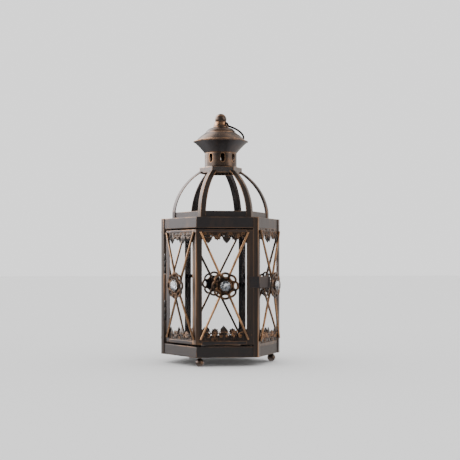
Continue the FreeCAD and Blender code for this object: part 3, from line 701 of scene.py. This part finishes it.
# round each ball's widest part the rub is partly wear and partly a painted highlight
footShape = {
    "profile": outline((0.0, 0.0), (1.445, 0.0), ((4.3, 4.05), (1.7, 8.0)), (1.7, 9.3), (0.0, 9.3), count=16),
    "steps": 40, "wear": [(4.3, 4.05, 1.6, 0.35)], "circle": 54.8 * mm,
    "turns": {"foot_front_left": 240.0, "foot_right": 0.0, "foot_back_left": 120.0},
}


def addFeet():
    shape = footShape
    ball = lathe("footBall", fineOutline(shape["profile"], turnedLook["fine"]), shape["steps"], wall=False)
    setWearAndPaintedLight(ball, wearNear(shape["wear"], 0.0))
    for node, turn in shape["turns"].items():
        place = turnBy(turn) @ Matrix.Translation((shape["circle"], 0.0, 0.0))
        finishPiece(copyOf(ball, node, place), node)
    throwAway(ball)


addFeet()

chimneyShape = {
    "outside": [(18.15, 0.0), (17.05, 1.3), (17.05, 15.5)], "inside": [(16.25, 15.5), (16.25, 0.0)],
    "rows": 0.55, "steps": 192, "edges": [(18.15, 0.0, 1.2, 0.8), (17.05, 15.5, 0.9, 0.6)],
    "ventCount": 8, "ventWidth": 4.3 * mm, "ventHeight": 9.1 * mm, "ventRise": 5.2 * mm,
    "rim": 0.8 * mm, "rimWear": 0.8, "rimSpread": 1.6,
    "cutterCircle": 17.0 * mm, "cutterDepth": 6.0 * mm, "cutterRound": 0.999, "cutterSegments": 8,
}


def lengthwise(piece, edge):
    # whether an edge runs mainly along X
    start, end = (piece.data.vertices[i].co for i in edge.vertices)
    return abs(start.x - end.x) > (start - end).length / 2


def ventCutter(middle):
    # one stadium-shaped punch, standing where the first vent goes
    shape = chimneyShape
    width = shape["ventWidth"]
    cutter = newShape("ventCutter", bpy.ops.mesh.primitive_cube_add, size=1.0,
                      location=(shape["cutterCircle"], 0.0, middle),
                      scale=(shape["cutterDepth"], width, shape["ventHeight"]))
    editParts(cutter, "EDGE", lambda edge: lengthwise(cutter, edge))
    bpy.ops.mesh.bevel(offset=width / 2 * shape["cutterRound"], segments=shape["cutterSegments"],
                       clamp_overlap=False)
    leaveEdit()
    return cutter


def addChimney():
    shape = chimneyShape
    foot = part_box("chimney")[0][2]
    middle = foot + shape["ventRise"] + shape["ventHeight"] / 2
    profile = fineOutline(shape["outside"], shape["rows"]) + shape["inside"]
    piece = lathe("chimney", profile, shape["steps"], wall=True)
    piece.data.transform(Matrix.Translation((0.0, 0.0, foot)))
    cutWith(piece, joinAll(ringOf(ventCutter(middle), shape["ventCount"]), "ventCutters"))
    step = math.tau / shape["ventCount"]
    half, straight = shape["ventWidth"] / 2, shape["ventHeight"] / 2 - shape["ventWidth"] / 2
    edgeWear = wearNear(shape["edges"], foot)

    def wear(place):
        # the folded rims of the vents are bare copper
        turn = math.atan2(place.y, place.x)
        across = (turn - step * round(turn / step)) * math.hypot(place.x, place.y)
        up = max(abs(place.z - middle) - straight, 0.0)
        gap = math.hypot(across, up) - half
        rim = max(0.0, 1.0 - max(gap, 0.0) / shape["rim"])
        return max(edgeWear(place), shape["rimWear"] * min(rim * shape["rimSpread"], 1.0))

    finishPiece(setWearAndPaintedLight(piece, wear), "chimney")


addChimney()
print("turned parts made")


# Hanging ring: one bent wire

ringShape = {
    "wire": 1.04 * mm, "ring": 16.7 * mm, "centre": 15.1 * mm, "halfWidth": 9.6 * mm, "planeRise": 2.15 * mm,
    "lean": 27.25, "legs": 8.4 * mm, "pins": 3.5 * mm, "corner": 0.9 * mm, "arcSteps": 72, "resolution": 4,
}


def addHangingRing():
    shape = ringShape
    lean = math.radians(shape["lean"])
    along = Vector((math.cos(lean), 0.0, -math.sin(lean))) * shape["ring"]
    across = Vector((0.0, 1.0, 0.0)) * shape["ring"]
    start = Vector((0.0, 0.0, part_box("lid")[1][2] + shape["planeRise"]))
    centre = start + along.normalized() * shape["centre"]
    half = math.pi - math.asin(shape["halfWidth"] / shape["ring"])
    turns = [-half + 2 * half * i / shape["arcSteps"] for i in range(shape["arcSteps"] + 1)]
    loop = [centre + along * math.cos(turn) + across * math.sin(turn) for turn in turns]
    pivot = ringPivot()
    ends = {side: [Vector((0.0, side * shape["pins"], pivot)), Vector((0.0, side * shape["legs"], pivot))]
            for side in (-1, 1)}
    first = softCorners(ends[-1] + loop[:2], shape["corner"])
    last = softCorners(loop[-2:] + ends[1][::-1], shape["corner"])
    path = first[:-1] + loop[1:-1] + last[1:]
    piece = wireAlong("hangingRing", path, shape["wire"], resolution=shape["resolution"])
    piece.data.transform(turnBy(ringTurn))
    finishPiece(setWearAndPaintedLight(piece, 0.0), "hanging_ring")


addHangingRing()


# Crossed rods: two bent copper rods on each face, one over the other

rodShape = {
    "radius": 1.3 * mm, "endShare": 0.86, "seat": 1.0 * mm, "gap": 0.05 * mm, "bend": 5.0 * mm,
    "endRound": 0.55 * mm, "endSegments": 3, "endAngle": 60.0, "resolution": 4,
    # how far each set is rubbed outside, kept lower off the front and most on the left door as a painted shade,
    # and all of them inside, where the normal turns to the back
    "outside": {"door_cross_rods_front": 0.9, "door_cross_rods_left": 0.5, "cross_rods": 0.6},
    "inside": 0.05, "backTurn": 0.3,
}


def rodThickness(t):
    return 1.0 if 0.0 < t < 1.0 else rodShape["endShare"]


def crossedRods(node, turn):
    shape = rodShape
    low, high = faceBox(node, turn)
    radius = shape["radius"]
    across, up = (high.x - low.x) / 2, (high.z - low.z) / 2
    length = math.hypot(across, up)
    reach, rise = across - radius * up / length, up - radius * across / length
    middle = Vector(((low.x + high.x) / 2, 0.0, (low.z + high.z) / 2))
    endDepth = high.y - shape["seat"]
    outerDepth = low.y + radius
    rods = []
    for side, depth in ((1, outerDepth + radius * 2 + shape["gap"]), (-1, outerDepth)):
        ends = [middle + Vector((side * k * reach, endDepth, k * rise)) for k in (-1, 1)]
        path = softCorners([ends[0], middle + Vector((0.0, depth, 0.0)), ends[1]], shape["bend"])
        rod = wireAlong("rod", path, radius, resolution=shape["resolution"], taper=rodThickness)
        roundEdges(rod, shape["endRound"], shape["endSegments"], shape["endAngle"])
        setWearAndPaintedLight(rod, [shape["outside"][node] if vertex.normal.y < shape["backTurn"] else shape["inside"]
                      for vertex in rod.data.vertices])
        rod.data.transform(toFace(turn))
        rods.append(rod)
    return rods


def addRods():
    sets = {"cross_rods": []}
    for turn in fixedFaces.values():
        sets["cross_rods"] += crossedRods("cross_rods", turn)
    for face, turn in doorFaces.items():
        sets["door_cross_rods_" + face] = crossedRods("door_cross_rods_" + face, turn)
    for node, rods in sets.items():
        finishPiece(joinAll(rods, node), node)


addRods()
print("ring and rods made")


# Rosettes: eight wide wire loops round a fluted hub with two rows of beads, and a bezel with claws

rosetteShape = {
    "loops": 8, "loopCircle": 10.4 * mm, "loopOut": 2.45 * mm, "loopAcross": 3.95 * mm, "loopSteps": 28,
    "loopWire": 1.15 * mm, "loopLift": 0.9 * mm, "loopRub": 0.6, "loopDark": 0.1,
    "jointCircle": 10.1 * mm, "joints": 1.15 * mm, "jointFlat": 0.75, "jointRub": 0.35,
    "hub": 9.2 * mm, "hubThickness": 0.8 * mm, "hubSteps": (0.9 * mm, 1.1 * mm), "hubRub": 0.05,
    "flutes": 24, "fluteSides": 4, "fluteDepth": 0.4 * mm,
    # each row of beads: how many, their circle, radius and rub
    "beadRows": [(24, 8.3 * mm, 0.62 * mm, 0.45), (16, 7.05 * mm, 0.5 * mm, 0.25)], "beadRise": 0.5,
    "bezel": 6.0 * mm, "bezelWall": 0.6 * mm, "bezelWire": 0.5 * mm, "bezelTop": 2.4 * mm, "bezelSides": 48,
    "wallRub": 0.1, "wireRub": 0.35,
    "claws": 8, "clawRadius": 0.62 * mm, "clawCircle": 5.65 * mm, "clawHeight": 2.478 * mm, "clawFlat": 0.8,
    # the last is how much rub each side face keeps, a painted shade
    "clawRub": 0.5, "shine": {"left": 0.55, "right": 0.65},
}


def torusAt(name, place, major, minor, rub, around, section=8):
    hoop = newShape(name, bpy.ops.mesh.primitive_torus_add, location=place, major_radius=major,
                    minor_radius=minor, major_segments=around, minor_segments=section)
    return setWearAndPaintedLight(hoop, rub)


def rosetteLoops():
    shape = rosetteShape
    lift = shape["loopLift"]
    turns = [math.tau * i / shape["loopSteps"] for i in range(shape["loopSteps"])]
    around = [(shape["loopCircle"] + shape["loopOut"] * math.cos(turn),
               shape["loopAcross"] * math.sin(turn), lift) for turn in turns]
    loop = wireAlong("loop", around, shape["loopWire"], closed=True)
    setWearAndPaintedLight(loop, lambda place: shape["loopRub"] if place.z > lift else shape["loopDark"])
    half = math.pi / shape["loops"]
    place = (shape["jointCircle"] * math.cos(half), shape["jointCircle"] * math.sin(half), lift)
    joint = bead("joint", place, shape["joints"], shape["jointFlat"], shape["jointRub"])
    return ringOf(loop, shape["loops"]) + ringOf(joint, shape["loops"])


def rosetteHub():
    shape = rosetteShape
    thickness, sides = shape["hubThickness"], shape["flutes"] * shape["fluteSides"]
    hub = newShape("hub", bpy.ops.mesh.primitive_cylinder_add, vertices=sides, radius=shape["hub"],
                   depth=thickness, location=(0.0, 0.0, thickness / 2))
    editParts(hub, "FACE", lambda face: face.normal.z > 0.9)
    for inset in shape["hubSteps"]:
        bpy.ops.mesh.inset(thickness=inset)
    leaveEdit()
    for vertex in hub.data.vertices:
        radius = math.hypot(vertex.co.x, vertex.co.y)
        if radius > shape["bezel"]:
            wave = math.cos(shape["flutes"] * math.atan2(vertex.co.y, vertex.co.x))
            scale = 1.0 - shape["fluteDepth"] * (1.0 - wave) / radius
            vertex.co.x *= scale
            vertex.co.y *= scale
    parts = [setWearAndPaintedLight(hub, shape["hubRub"])]
    for count, circle, radius, worn in shape["beadRows"]:
        place = (circle, 0.0, thickness + radius * shape["beadRise"])
        parts += ringOf(bead("bead", place, radius, 1.0, worn), count)
    return parts


def rosetteBezel():
    shape = rosetteShape
    wall = newShape("bezelWall", bpy.ops.mesh.primitive_cylinder_add, vertices=shape["bezelSides"],
                    radius=shape["bezel"] + shape["bezelWall"] / 2, depth=shape["bezelTop"],
                    end_fill_type="NOTHING", location=(0.0, 0.0, shape["bezelTop"] / 2))
    wall.modifiers.new("wall", "SOLIDIFY").thickness = shape["bezelWall"]
    applyAll(wall)
    rim = torusAt("bezelRim", (0.0, 0.0, shape["bezelTop"]), shape["bezel"] + shape["bezelWall"] / 4,
                  shape["bezelWire"], shape["wireRub"], shape["bezelSides"])
    place = (shape["clawCircle"], 0.0, shape["clawHeight"])
    claw = bead("claw", place, shape["clawRadius"], shape["clawFlat"], shape["clawRub"])
    return [setWearAndPaintedLight(wall, shape["wallRub"]), rim] + ringOf(claw, shape["claws"])


def rosetteModel():
    # flat on the XY plane, its back at z = 0
    return joinAll(rosetteLoops() + rosetteHub() + rosetteBezel(), "rosetteModel")


# Stones: brilliant cut, with silvered backs

stoneShape = {
    "seat": 0.9 * mm, "height": 3.85 * mm, "girdle": 5.45 * mm, "girdleLow": 1.5 * mm, "girdleHigh": 2.0 * mm,
    "table": 2.9 * mm, "main": 4.5 * mm, "mainShare": 0.66, "culet": 0.9 * mm, "pavilion": 3.3 * mm,
    "pavilionShare": 0.45, "facets": 8, "flatAngle": 1.0, "edge": 0.05 * mm, "edgeAngle": 8.0, "smooth": 5.0,
    # the silvered back: the normals it takes, and its painted light, brighter at the upper left
    "foilBelow": -0.1, "light": 0.5, "lightUp": 0.8, "lightLeft": 0.5,
}


def stoneModel():
    shape = stoneShape
    count = shape["facets"]
    seat, top = shape["seat"], shape["seat"] + shape["height"]
    girdleLow, girdleHigh = seat + shape["girdleLow"], seat + shape["girdleHigh"]
    rings = [
        (shape["culet"], count, 0.5, seat),
        (shape["pavilion"], count, 0.0, seat + shape["girdleLow"] * shape["pavilionShare"]),
        (shape["girdle"], count * 2, 0.0, girdleLow), (shape["girdle"], count * 2, 0.0, girdleHigh),
        (shape["main"], count, 0.0, girdleHigh + (top - girdleHigh) * shape["mainShare"]),
        (shape["table"], count, 0.5, top),
    ]
    discs = []
    for radius, sides, shift, height in rings:
        discs.append(newShape("stoneRing", bpy.ops.mesh.primitive_circle_add, vertices=sides, radius=radius,
                              location=(0.0, 0.0, height), rotation=(0.0, 0.0, math.tau / sides * shift)))
    piece = joinAll(discs, "stoneModel")
    editParts(piece)
    bpy.ops.mesh.convex_hull()
    leaveEdit()
    cleanUp(piece)
    editParts(piece)
    bpy.ops.mesh.dissolve_limited(angle_limit=math.radians(shape["flatAngle"]))
    leaveEdit()
    roundEdges(piece, shape["edge"], 1, shape["edgeAngle"])
    piece.data.materials.append(finishes["cut_glass"])
    piece.data.materials.append(foilFinish)
    for face in piece.data.polygons:
        face.material_index = 1 if face.normal.z < shape["foilBelow"] else 0
    # the foil's painted light, brighter towards the upper left and darker towards the lower right
    up, left = shape["lightUp"], shape["lightLeft"]
    return setWearAndPaintedLight(piece, lambda place: shape["light"] + (up * place.y - left * place.x) / shape["girdle"])


def addRosettesAndStones():
    rosette, stone = rosetteModel(), stoneModel()
    for faces, body in ((fixedFaces, ""), (doorFaces, "door_")):
        stones = []
        for face, turn in faces.items():
            node = body + "rosette_" + face
            low, high = faceBox(node, turn)
            place = standUp((low.x + high.x) / 2, high.y, (low.z + high.z) / 2, turn)
            made = copyOf(rosette, node, place)
            # less rub on the side faces, a painted shade
            dimForPaintedShade(made, rosetteShape["shine"].get(face, 1.0))
            finishPiece(made, node)
            stones.append(copyOf(stone, "stone", place))
        finishPiece(joinAll(stones, "stones"), body + "stones", stoneShape["smooth"])
    throwAway(rosette, stone)


addRosettesAndStones()
print("rosettes and stones made")


# Lace: pierced strips of leaves and flowers over scrolls

# outlines, places and heights without a unit are millimetres, and a share is of the strip's thickness
laceShape = {
    "thickness": 0.7 * mm, "spacing": 9.85, "eachSide": 3, "trim": 0.001,
    "roots": {"front": 3.8, "left": 1.2, "right": 3.5}, "farRoot": 0.6, "leastPlate": 1.2,
    # the last two: how much rub the side faces and the top strips keep, a painted shade
    "topPlate": 5.2, "topRoot": -0.9, "topShift": 2.8, "shine": {"left": 0.5, "right": 0.7}, "topShine": 0.55,
}
leafShape = {
    "side": [(0.75, -0.6), (0.8, 5.2), (2.3, 6.6), (4.0, 8.2), (3.5, 8.9), (4.2, 9.8), (3.2, 10.4),
             (3.0, 11.4), (2.0, 11.8), (1.7, 12.9), (0.95, 13.2), (0.0, 14.6)],
    "inset": 0.55 * mm, "relief": 0.27 * mm, "rub": 0.08,
    "vein": [(5.0, 1.0), (9.4, 1.5), (13.2, 1.0)], "veinWire": 0.38 * mm, "veinTaper": 0.6, "veinRub": 0.15,
    "berryHeight": 9.0, "berryRise": 0.25 * mm, "berry": 0.8 * mm, "berryRub": 0.2,
    "plateHeight": 4.8, "plateShare": 0.7,
}
scrollShape = {
    "place": (2.7, 4.6), "turns": 430.0, "start": 118.0, "eye": 0.75, "open": 3.6, "wire": 0.68 * mm,
    "thin": 0.75, "swell": 0.35, "bead": 0.85 * mm, "steps": 26, "rub": 0.95,
}
flowerShape = {
    "height": 7.2, "disc": 3.3, "discSides": 24, "discShare": 0.8, "petals": 8, "petalCircle": 2.296,
    "petalLength": 1.6 * mm, "petalWidth": 0.5, "petalFlat": 0.55, "petalShare": 0.9, "petalRub": 0.9,
    "petalDark": 0.1, "tipCircle": 3.35, "tip": 0.85 * mm, "tipRub": 0.6, "eye": 0.95 * mm, "eyeFlat": 0.8,
    "eyeRub": 0.3, "stem": (1.3, 0.8), "stemTop": 2.6, "stemRub": 0.15, "plateHeight": 3.6, "plateShare": 0.6,
    "curlPlace": (1.9, 1.5), "curl": 1.35 * mm, "curlWire": 0.36 * mm, "curlShare": 0.8, "curlRub": 0.5,
    "curlSides": (14, 6), "ball": 0.95 * mm, "ballRub": 0.3,
}
rootShape = {"rub": 0.2, "beadStep": 1.15, "beadRadius": 0.42 * mm, "beadDrop": 0.55, "beadRub": 0.6,
             "beadSides": (6, 4)}
plateShape = {
    "half": 4.93, "low": -0.6, "rub": 0.05,
    # the two humps, in shares of the height and of the half width
    "side": 0.45, "top": (0.8, 0.95), "peak": 0.35, "dip": 0.75,
}
flatBead = 0.7           # how high the beads of the lace are, to their width


def raisedPlate(name, points, thickness, inset=0.0, rise=0.0):
    # an outline in millimetres, filled, extruded upwards and raised inside its border
    piece = chain(name, [(x * mm, y * mm, 0.0) for x, y in points], closed=True)
    cleanUp(piece, mergeReach["plate"])
    editParts(piece, "FACE")
    bpy.ops.mesh.extrude_region_move(TRANSFORM_OT_translate={"value": (0.0, 0.0, thickness)})
    if inset:
        bpy.ops.mesh.inset(thickness=inset)
        bpy.ops.transform.translate(value=(0.0, 0.0, rise))
    leaveEdit()
    cleanUp(piece, mergeReach["plate"])
    return piece


def scrollPiece(side):
    # a comma-shaped scroll that falls from the leaf and curls under
    shape = scrollShape
    path = []
    for i in range(shape["steps"] + 1):
        t = i / shape["steps"]
        turn = math.radians(shape["start"] - shape["turns"] * t)
        radius = shape["eye"] + shape["open"] * (1.0 - t) ** 3
        path.append((side * (shape["place"][0] + radius * math.cos(turn)) * mm,
                     (shape["place"][1] + radius * math.sin(turn)) * mm, laceShape["thickness"]))
    scroll = wireAlong("scroll", path, shape["wire"], taper=lambda t: shape["thin"] + shape["swell"] * t)
    eye = bead("scrollEye", path[-1], shape["bead"], flatBead, shape["rub"])
    return joinAll([setWearAndPaintedLight(scroll, shape["rub"]), eye], "scroll")


def backingPlate(name, height, share):
    # what carries a pair of scrolls: two humps that meet in the middle
    shape = plateShape
    half, low = shape["half"], shape["low"]
    side, peak = height * shape["side"], half * shape["peak"]
    out, top = half * shape["top"][0], height * shape["top"][1]
    points = outline((-half, low), (half, low), (half, side), ((out, top), (peak, height)),
                     (0.0, height * shape["dip"]), (-peak, height), ((-out, top), (-half, side)), count=5)
    return setWearAndPaintedLight(raisedPlate(name, points, laceShape["thickness"] * share), shape["rub"])


def leafModel():
    # a spade-shaped leaf with a toothed edge, over two scrolls
    shape = leafShape
    thickness = laceShape["thickness"]
    points = shape["side"] + [(-x, y) for x, y in shape["side"][-2::-1]]
    blade = raisedPlate("blade", points, thickness, shape["inset"], shape["relief"])
    vein = wireAlong("vein", [(0.0, height * mm, thickness * share) for height, share in shape["vein"]],
                     shape["veinWire"], taper=lambda t: 1.0 - shape["veinTaper"] * t)
    place = (0.0, shape["berryHeight"] * mm, thickness + shape["berryRise"])
    berry = bead("berry", place, shape["berry"], flatBead, shape["berryRub"])
    plate = backingPlate("scrollPlate", shape["plateHeight"], shape["plateShare"])
    return joinAll([setWearAndPaintedLight(blade, shape["rub"]), setWearAndPaintedLight(vein, shape["veinRub"]), berry, plate,
                    scrollPiece(1), scrollPiece(-1)], "leafModel")


def flowerPetals():
    # eight raised petals with a bead at each tip, round the flower's eye
    shape = flowerShape
    thickness, centre = laceShape["thickness"], shape["height"] * mm
    level = thickness * shape["petalShare"]
    petal = bead("petal", (0.0, 0.0, 0.0), shape["petalLength"], shape["petalFlat"], shape["petalDark"])
    petal.data.transform(Matrix.Diagonal((1.0, shape["petalWidth"], 1.0, 1.0)))
    petal.data.transform(Matrix.Translation((shape["petalCircle"] * mm, centre, level)))
    setWearAndPaintedLight(petal, lambda place: shape["petalRub"] if place.z > level else shape["petalDark"])
    place = (shape["tipCircle"] * mm, centre, thickness * shape["discShare"])
    tip = bead("petalTip", place, shape["tip"], flatBead, shape["tipRub"])
    eye = bead("eye", (0.0, centre, thickness), shape["eye"], shape["eyeFlat"], shape["eyeRub"])
    middle = (0.0, centre, 0.0)
    return ringOf(petal, shape["petals"], middle) + ringOf(tip, shape["petals"], middle) + [eye]


def flowerModel():
    # a round flower on a stem between two small scrolls
    shape = flowerShape
    thickness = laceShape["thickness"]
    depth = thickness * shape["discShare"]
    disc = newShape("flowerDisc", bpy.ops.mesh.primitive_cylinder_add, vertices=shape["discSides"],
                    radius=shape["disc"] * mm, depth=depth, location=(0.0, shape["height"] * mm, depth / 2))
    parts = [setWearAndPaintedLight(disc, plateShape["rub"])] + flowerPetals()
    wide, narrow = shape["stem"]
    low, top = plateShape["low"], shape["height"] - shape["stemTop"]
    stem = raisedPlate("stem", [(-wide, low), (wide, low), (narrow, top), (-narrow, top)], thickness)
    parts += [setWearAndPaintedLight(stem, shape["stemRub"]),
              backingPlate("stemPlate", shape["plateHeight"], shape["plateShare"])]
    for side in (-1, 1):
        x, y = side * shape["curlPlace"][0] * mm, shape["curlPlace"][1] * mm
        parts.append(bead("stemBall", (x, y, thickness), shape["ball"], flatBead, shape["ballRub"]))
        parts.append(torusAt("stemCurl", (x, y, thickness * shape["curlShare"]), shape["curl"],
                             shape["curlWire"], shape["curlRub"], *shape["curlSides"]))
    return joinAll(parts, "flowerModel")


def rootStrip(left, right, root):
    # the strip that carries the motifs, with a row of beads under its upper edge
    shape = rootShape
    thickness = laceShape["thickness"]
    plate = raisedPlate("root", [(left, 0.0), (right, 0.0), (right, root), (left, root)], thickness)
    parts = [setWearAndPaintedLight(plate, shape["rub"])]
    count = int((right - left) / shape["beadStep"])
    spot = bead("rootBead", (0.0, 0.0, 0.0), shape["beadRadius"], 1.0, shape["beadRub"], *shape["beadSides"])
    for i in range(count):
        x = left + (i + 0.5) * (right - left) / count
        place = Matrix.Translation((x * mm, (root - shape["beadDrop"]) * mm, thickness))
        parts.append(copyOf(spot, "rootBead", place))
    throwAway(spot)
    return parts


def laceStrip(left, right, middle, plate, root, motifs):
    # flat on the XY plane, cut off along y = 0; the first motif stands in the middle
    shape = laceShape
    parts = rootStrip(left, right, plate)
    for i in range(-shape["eachSide"], shape["eachSide"] + 1):
        place = Matrix.Translation(((middle + shape["spacing"] * i) * mm, root * mm, 0.0))
        parts.append(copyOf(motifs[i % 2], "motif", place))
    strip = joinAll(parts, "laceStrip")
    for across, up, edge in ((-1.0, 0.0, left), (1.0, 0.0, right), (0.0, -1.0, 0.0)):
        editParts(strip)
        place = ((edge - across * shape["trim"]) * mm, (edge - up * shape["trim"]) * mm, 0.0)
        bpy.ops.mesh.bisect(plane_co=place, plane_no=(across, up, 0.0), clear_outer=True, use_fill=True)
        leaveEdit()
    return strip


def laceNode(node, face, turn, middle, motifs):
    # one strip that stands at the bottom of the face, and one that hangs from the top
    shape = laceShape
    low, high = faceBox(node, turn)
    strips = []
    root = shape["roots"].get(face, shape["farRoot"])
    topShift = shape["topShift"] if face in shape["roots"] else -shape["topShift"]
    lower = (1.0, max(root, shape["leastPlate"]), root, low.z, 0.0)
    upper = (-1.0, shape["topPlate"], shape["topRoot"], high.z, topShift)
    for flip, plate, root, edge, shift in (lower, upper):
        strip = laceStrip(low.x / mm, high.x / mm, middle / mm + shift, plate, root, motifs)
        strip.data.transform(standUp(0.0, high.y, edge, turn) @ Matrix.Diagonal((1.0, flip, 1.0, 1.0)))
        # the side faces and the top strip keep less rub: a painted shade
        shine = shape["shine"].get(face, 1.0)
        if flip < 0.0:
            strip.data.flip_normals()
            shine *= shape["topShine"]
        dimForPaintedShade(strip, shine)
        strips.append(strip)
    finishPiece(joinAll(strips, node), node)


def addLace():
    leafFlat, flowerFlat = leafModel(), flowerModel()
    for face, turn in fixedFaces.items():
        motifs = (leafFlat, flowerFlat) if face == "right" else (flowerFlat, leafFlat)
        laceNode("lace_" + face, face, turn, 0.0, motifs)
    for face, turn in doorFaces.items():
        low, high = faceBox("door_cross_rods_" + face, turn)
        laceNode("door_lace_" + face, face, turn, (low.x + high.x) / 2, (leafFlat, flowerFlat))
    throwAway(leafFlat, flowerFlat)


addLace()
print("lace made")


# Studio: a white backdrop and floor, with the reflections of a soft tent that is bright on the left

studio = {
    "floorSize": 14.0, "floorColour": (0.90, 0.90, 0.90, 1.0), "floorShade": (0.8865, 0.8865, 0.8865, 1.0),
    "floorScale": 3.0, "floorRough": 0.95, "floorGloss": 0.1, "white": 1.5, "ambient": 0.30,
    # each light panel of the tent: its direction, the cosines where its glow starts and is full, its strength
    # and colour, and how it fades towards the floor: the height shares that it fades over, and what is left
    "panels": [
        ((-0.92, 0.38, 0.05), (0.50, 0.93), 3.8, (1.0, 0.985, 0.98), ((-0.10, 0.15), 0.05)),
        ((-0.60, 0.55, 0.58), (0.78, 0.95), 4.2, (1.0, 0.98, 0.97), None),
        ((-0.85, -0.35, 0.25), (0.88, 0.98), 1.5, (1.0, 0.97, 0.94), None),
        ((0.80, 0.57, 0.15), (0.60, 0.97), 1.0, (1.0, 0.92, 0.85), None),
        ((0.88, -0.42, 0.15), (0.93, 0.99), 2.5, (1.0, 0.90, 0.80), None),
        ((0.72, -0.45, 0.53), (0.93, 0.985), 2.2, (1.0, 0.88, 0.76), None),
        ((0.05, 0.25, 0.95), (0.80, 0.98), 0.25, (1.0, 0.93, 0.86), None),
        ((0.42, 0.25, 0.87), (0.96, 0.995), 1.5, (1.0, 0.88, 0.76), None),
        ((0.0, 0.0, -1.0), (0.25, 0.85), 0.9, (0.95, 0.97, 1.0), None),
    ],
}


def addFloor():
    floor = newShape("floor", bpy.ops.mesh.primitive_plane_add, size=studio["floorSize"],
                     location=(0.0, 0.0, 0.0))
    material, tree, shader = newFinish("paleFloor")
    shade = noiseAt(tree, studio["floorScale"])
    feed(tree, shader, {
        "Base Color": colourMix(tree, shade, studio["floorColour"], studio["floorShade"]),
        "Roughness": studio["floorRough"], "Specular IOR Level": studio["floorGloss"],
    })
    floor.data.materials.append(material)
    floor.visible_glossy = False


def addWorld():
    world = bpy.data.worlds.new("studioWorld")
    world.use_nodes = True
    tree = world.node_tree
    backdrop = tree.nodes["Background"]
    feed(tree, backdrop, {"Color": (1.0, 1.0, 1.0, 1.0), "Strength": studio["white"]})
    toward = shaderNode(tree, "TexCoord").outputs["Generated"]
    height = shaderNode(tree, "SeparateXYZ", {"Vector": toward}).outputs["Z"]
    glow = (studio["ambient"],) * 3
    for direction, span, strength, colour, fade in studio["panels"]:
        aim = {0: toward, 1: Vector(direction).normalized()}
        cosine = shaderNode(tree, "VectorMath", aim, operation="DOT_PRODUCT").outputs["Value"]
        share = ramp(tree, cosine, span, 0.0, strength)
        if fade:
            share = sums(tree, "MULTIPLY", share, ramp(tree, height, *fade))
        lit = shaderNode(tree, "VectorMath", {0: colour, "Scale": share}, operation="SCALE").outputs["Vector"]
        glow = shaderNode(tree, "VectorMath", {0: lit, 1: glow}, operation="ADD").outputs["Vector"]
    tent = shaderNode(tree, "Background", {"Color": glow, "Strength": 1.0})
    ray = shaderNode(tree, "LightPath").outputs["Is Glossy Ray"]
    choice = shaderNode(tree, "MixShader", {0: ray, 1: backdrop.outputs[0], 2: tent.outputs[0]})
    tree.links.new(choice.outputs[0], tree.nodes["World Output"].inputs["Surface"])
    bpy.context.scene.world = world


addFloor()
addWorld()


# Camera: level, turned a little to the left of the front panel

view = {
    "photoSize": 460.0, "sensor": 36.0, "focalPixels": 990.5, "azimuth": -6.92, "height": 0.1053,
    "distance": 1.059, "axisPixel": 220.76, "horizonPixel": 263.13, "clipStart": 0.01,
}


def addCamera():
    turn = math.radians(view["azimuth"])
    lens = bpy.data.cameras.new("photoCamera")
    lens.sensor_width = view["sensor"]
    lens.lens = view["sensor"] * view["focalPixels"] / view["photoSize"]
    lens.shift_x = (view["photoSize"] / 2 - view["axisPixel"]) / view["photoSize"]
    lens.shift_y = (view["horizonPixel"] - view["photoSize"] / 2) / view["photoSize"]
    lens.clip_start = view["clipStart"]
    camera = bpy.data.objects.new("photoCamera", lens)
    bpy.context.scene.collection.objects.link(camera)
    camera.location = (math.sin(turn) * view["distance"], -math.cos(turn) * view["distance"], view["height"])
    camera.rotation_euler = (math.radians(90.0), 0.0, turn)
    bpy.context.scene.camera = camera


addCamera()
print("studio and camera placed")
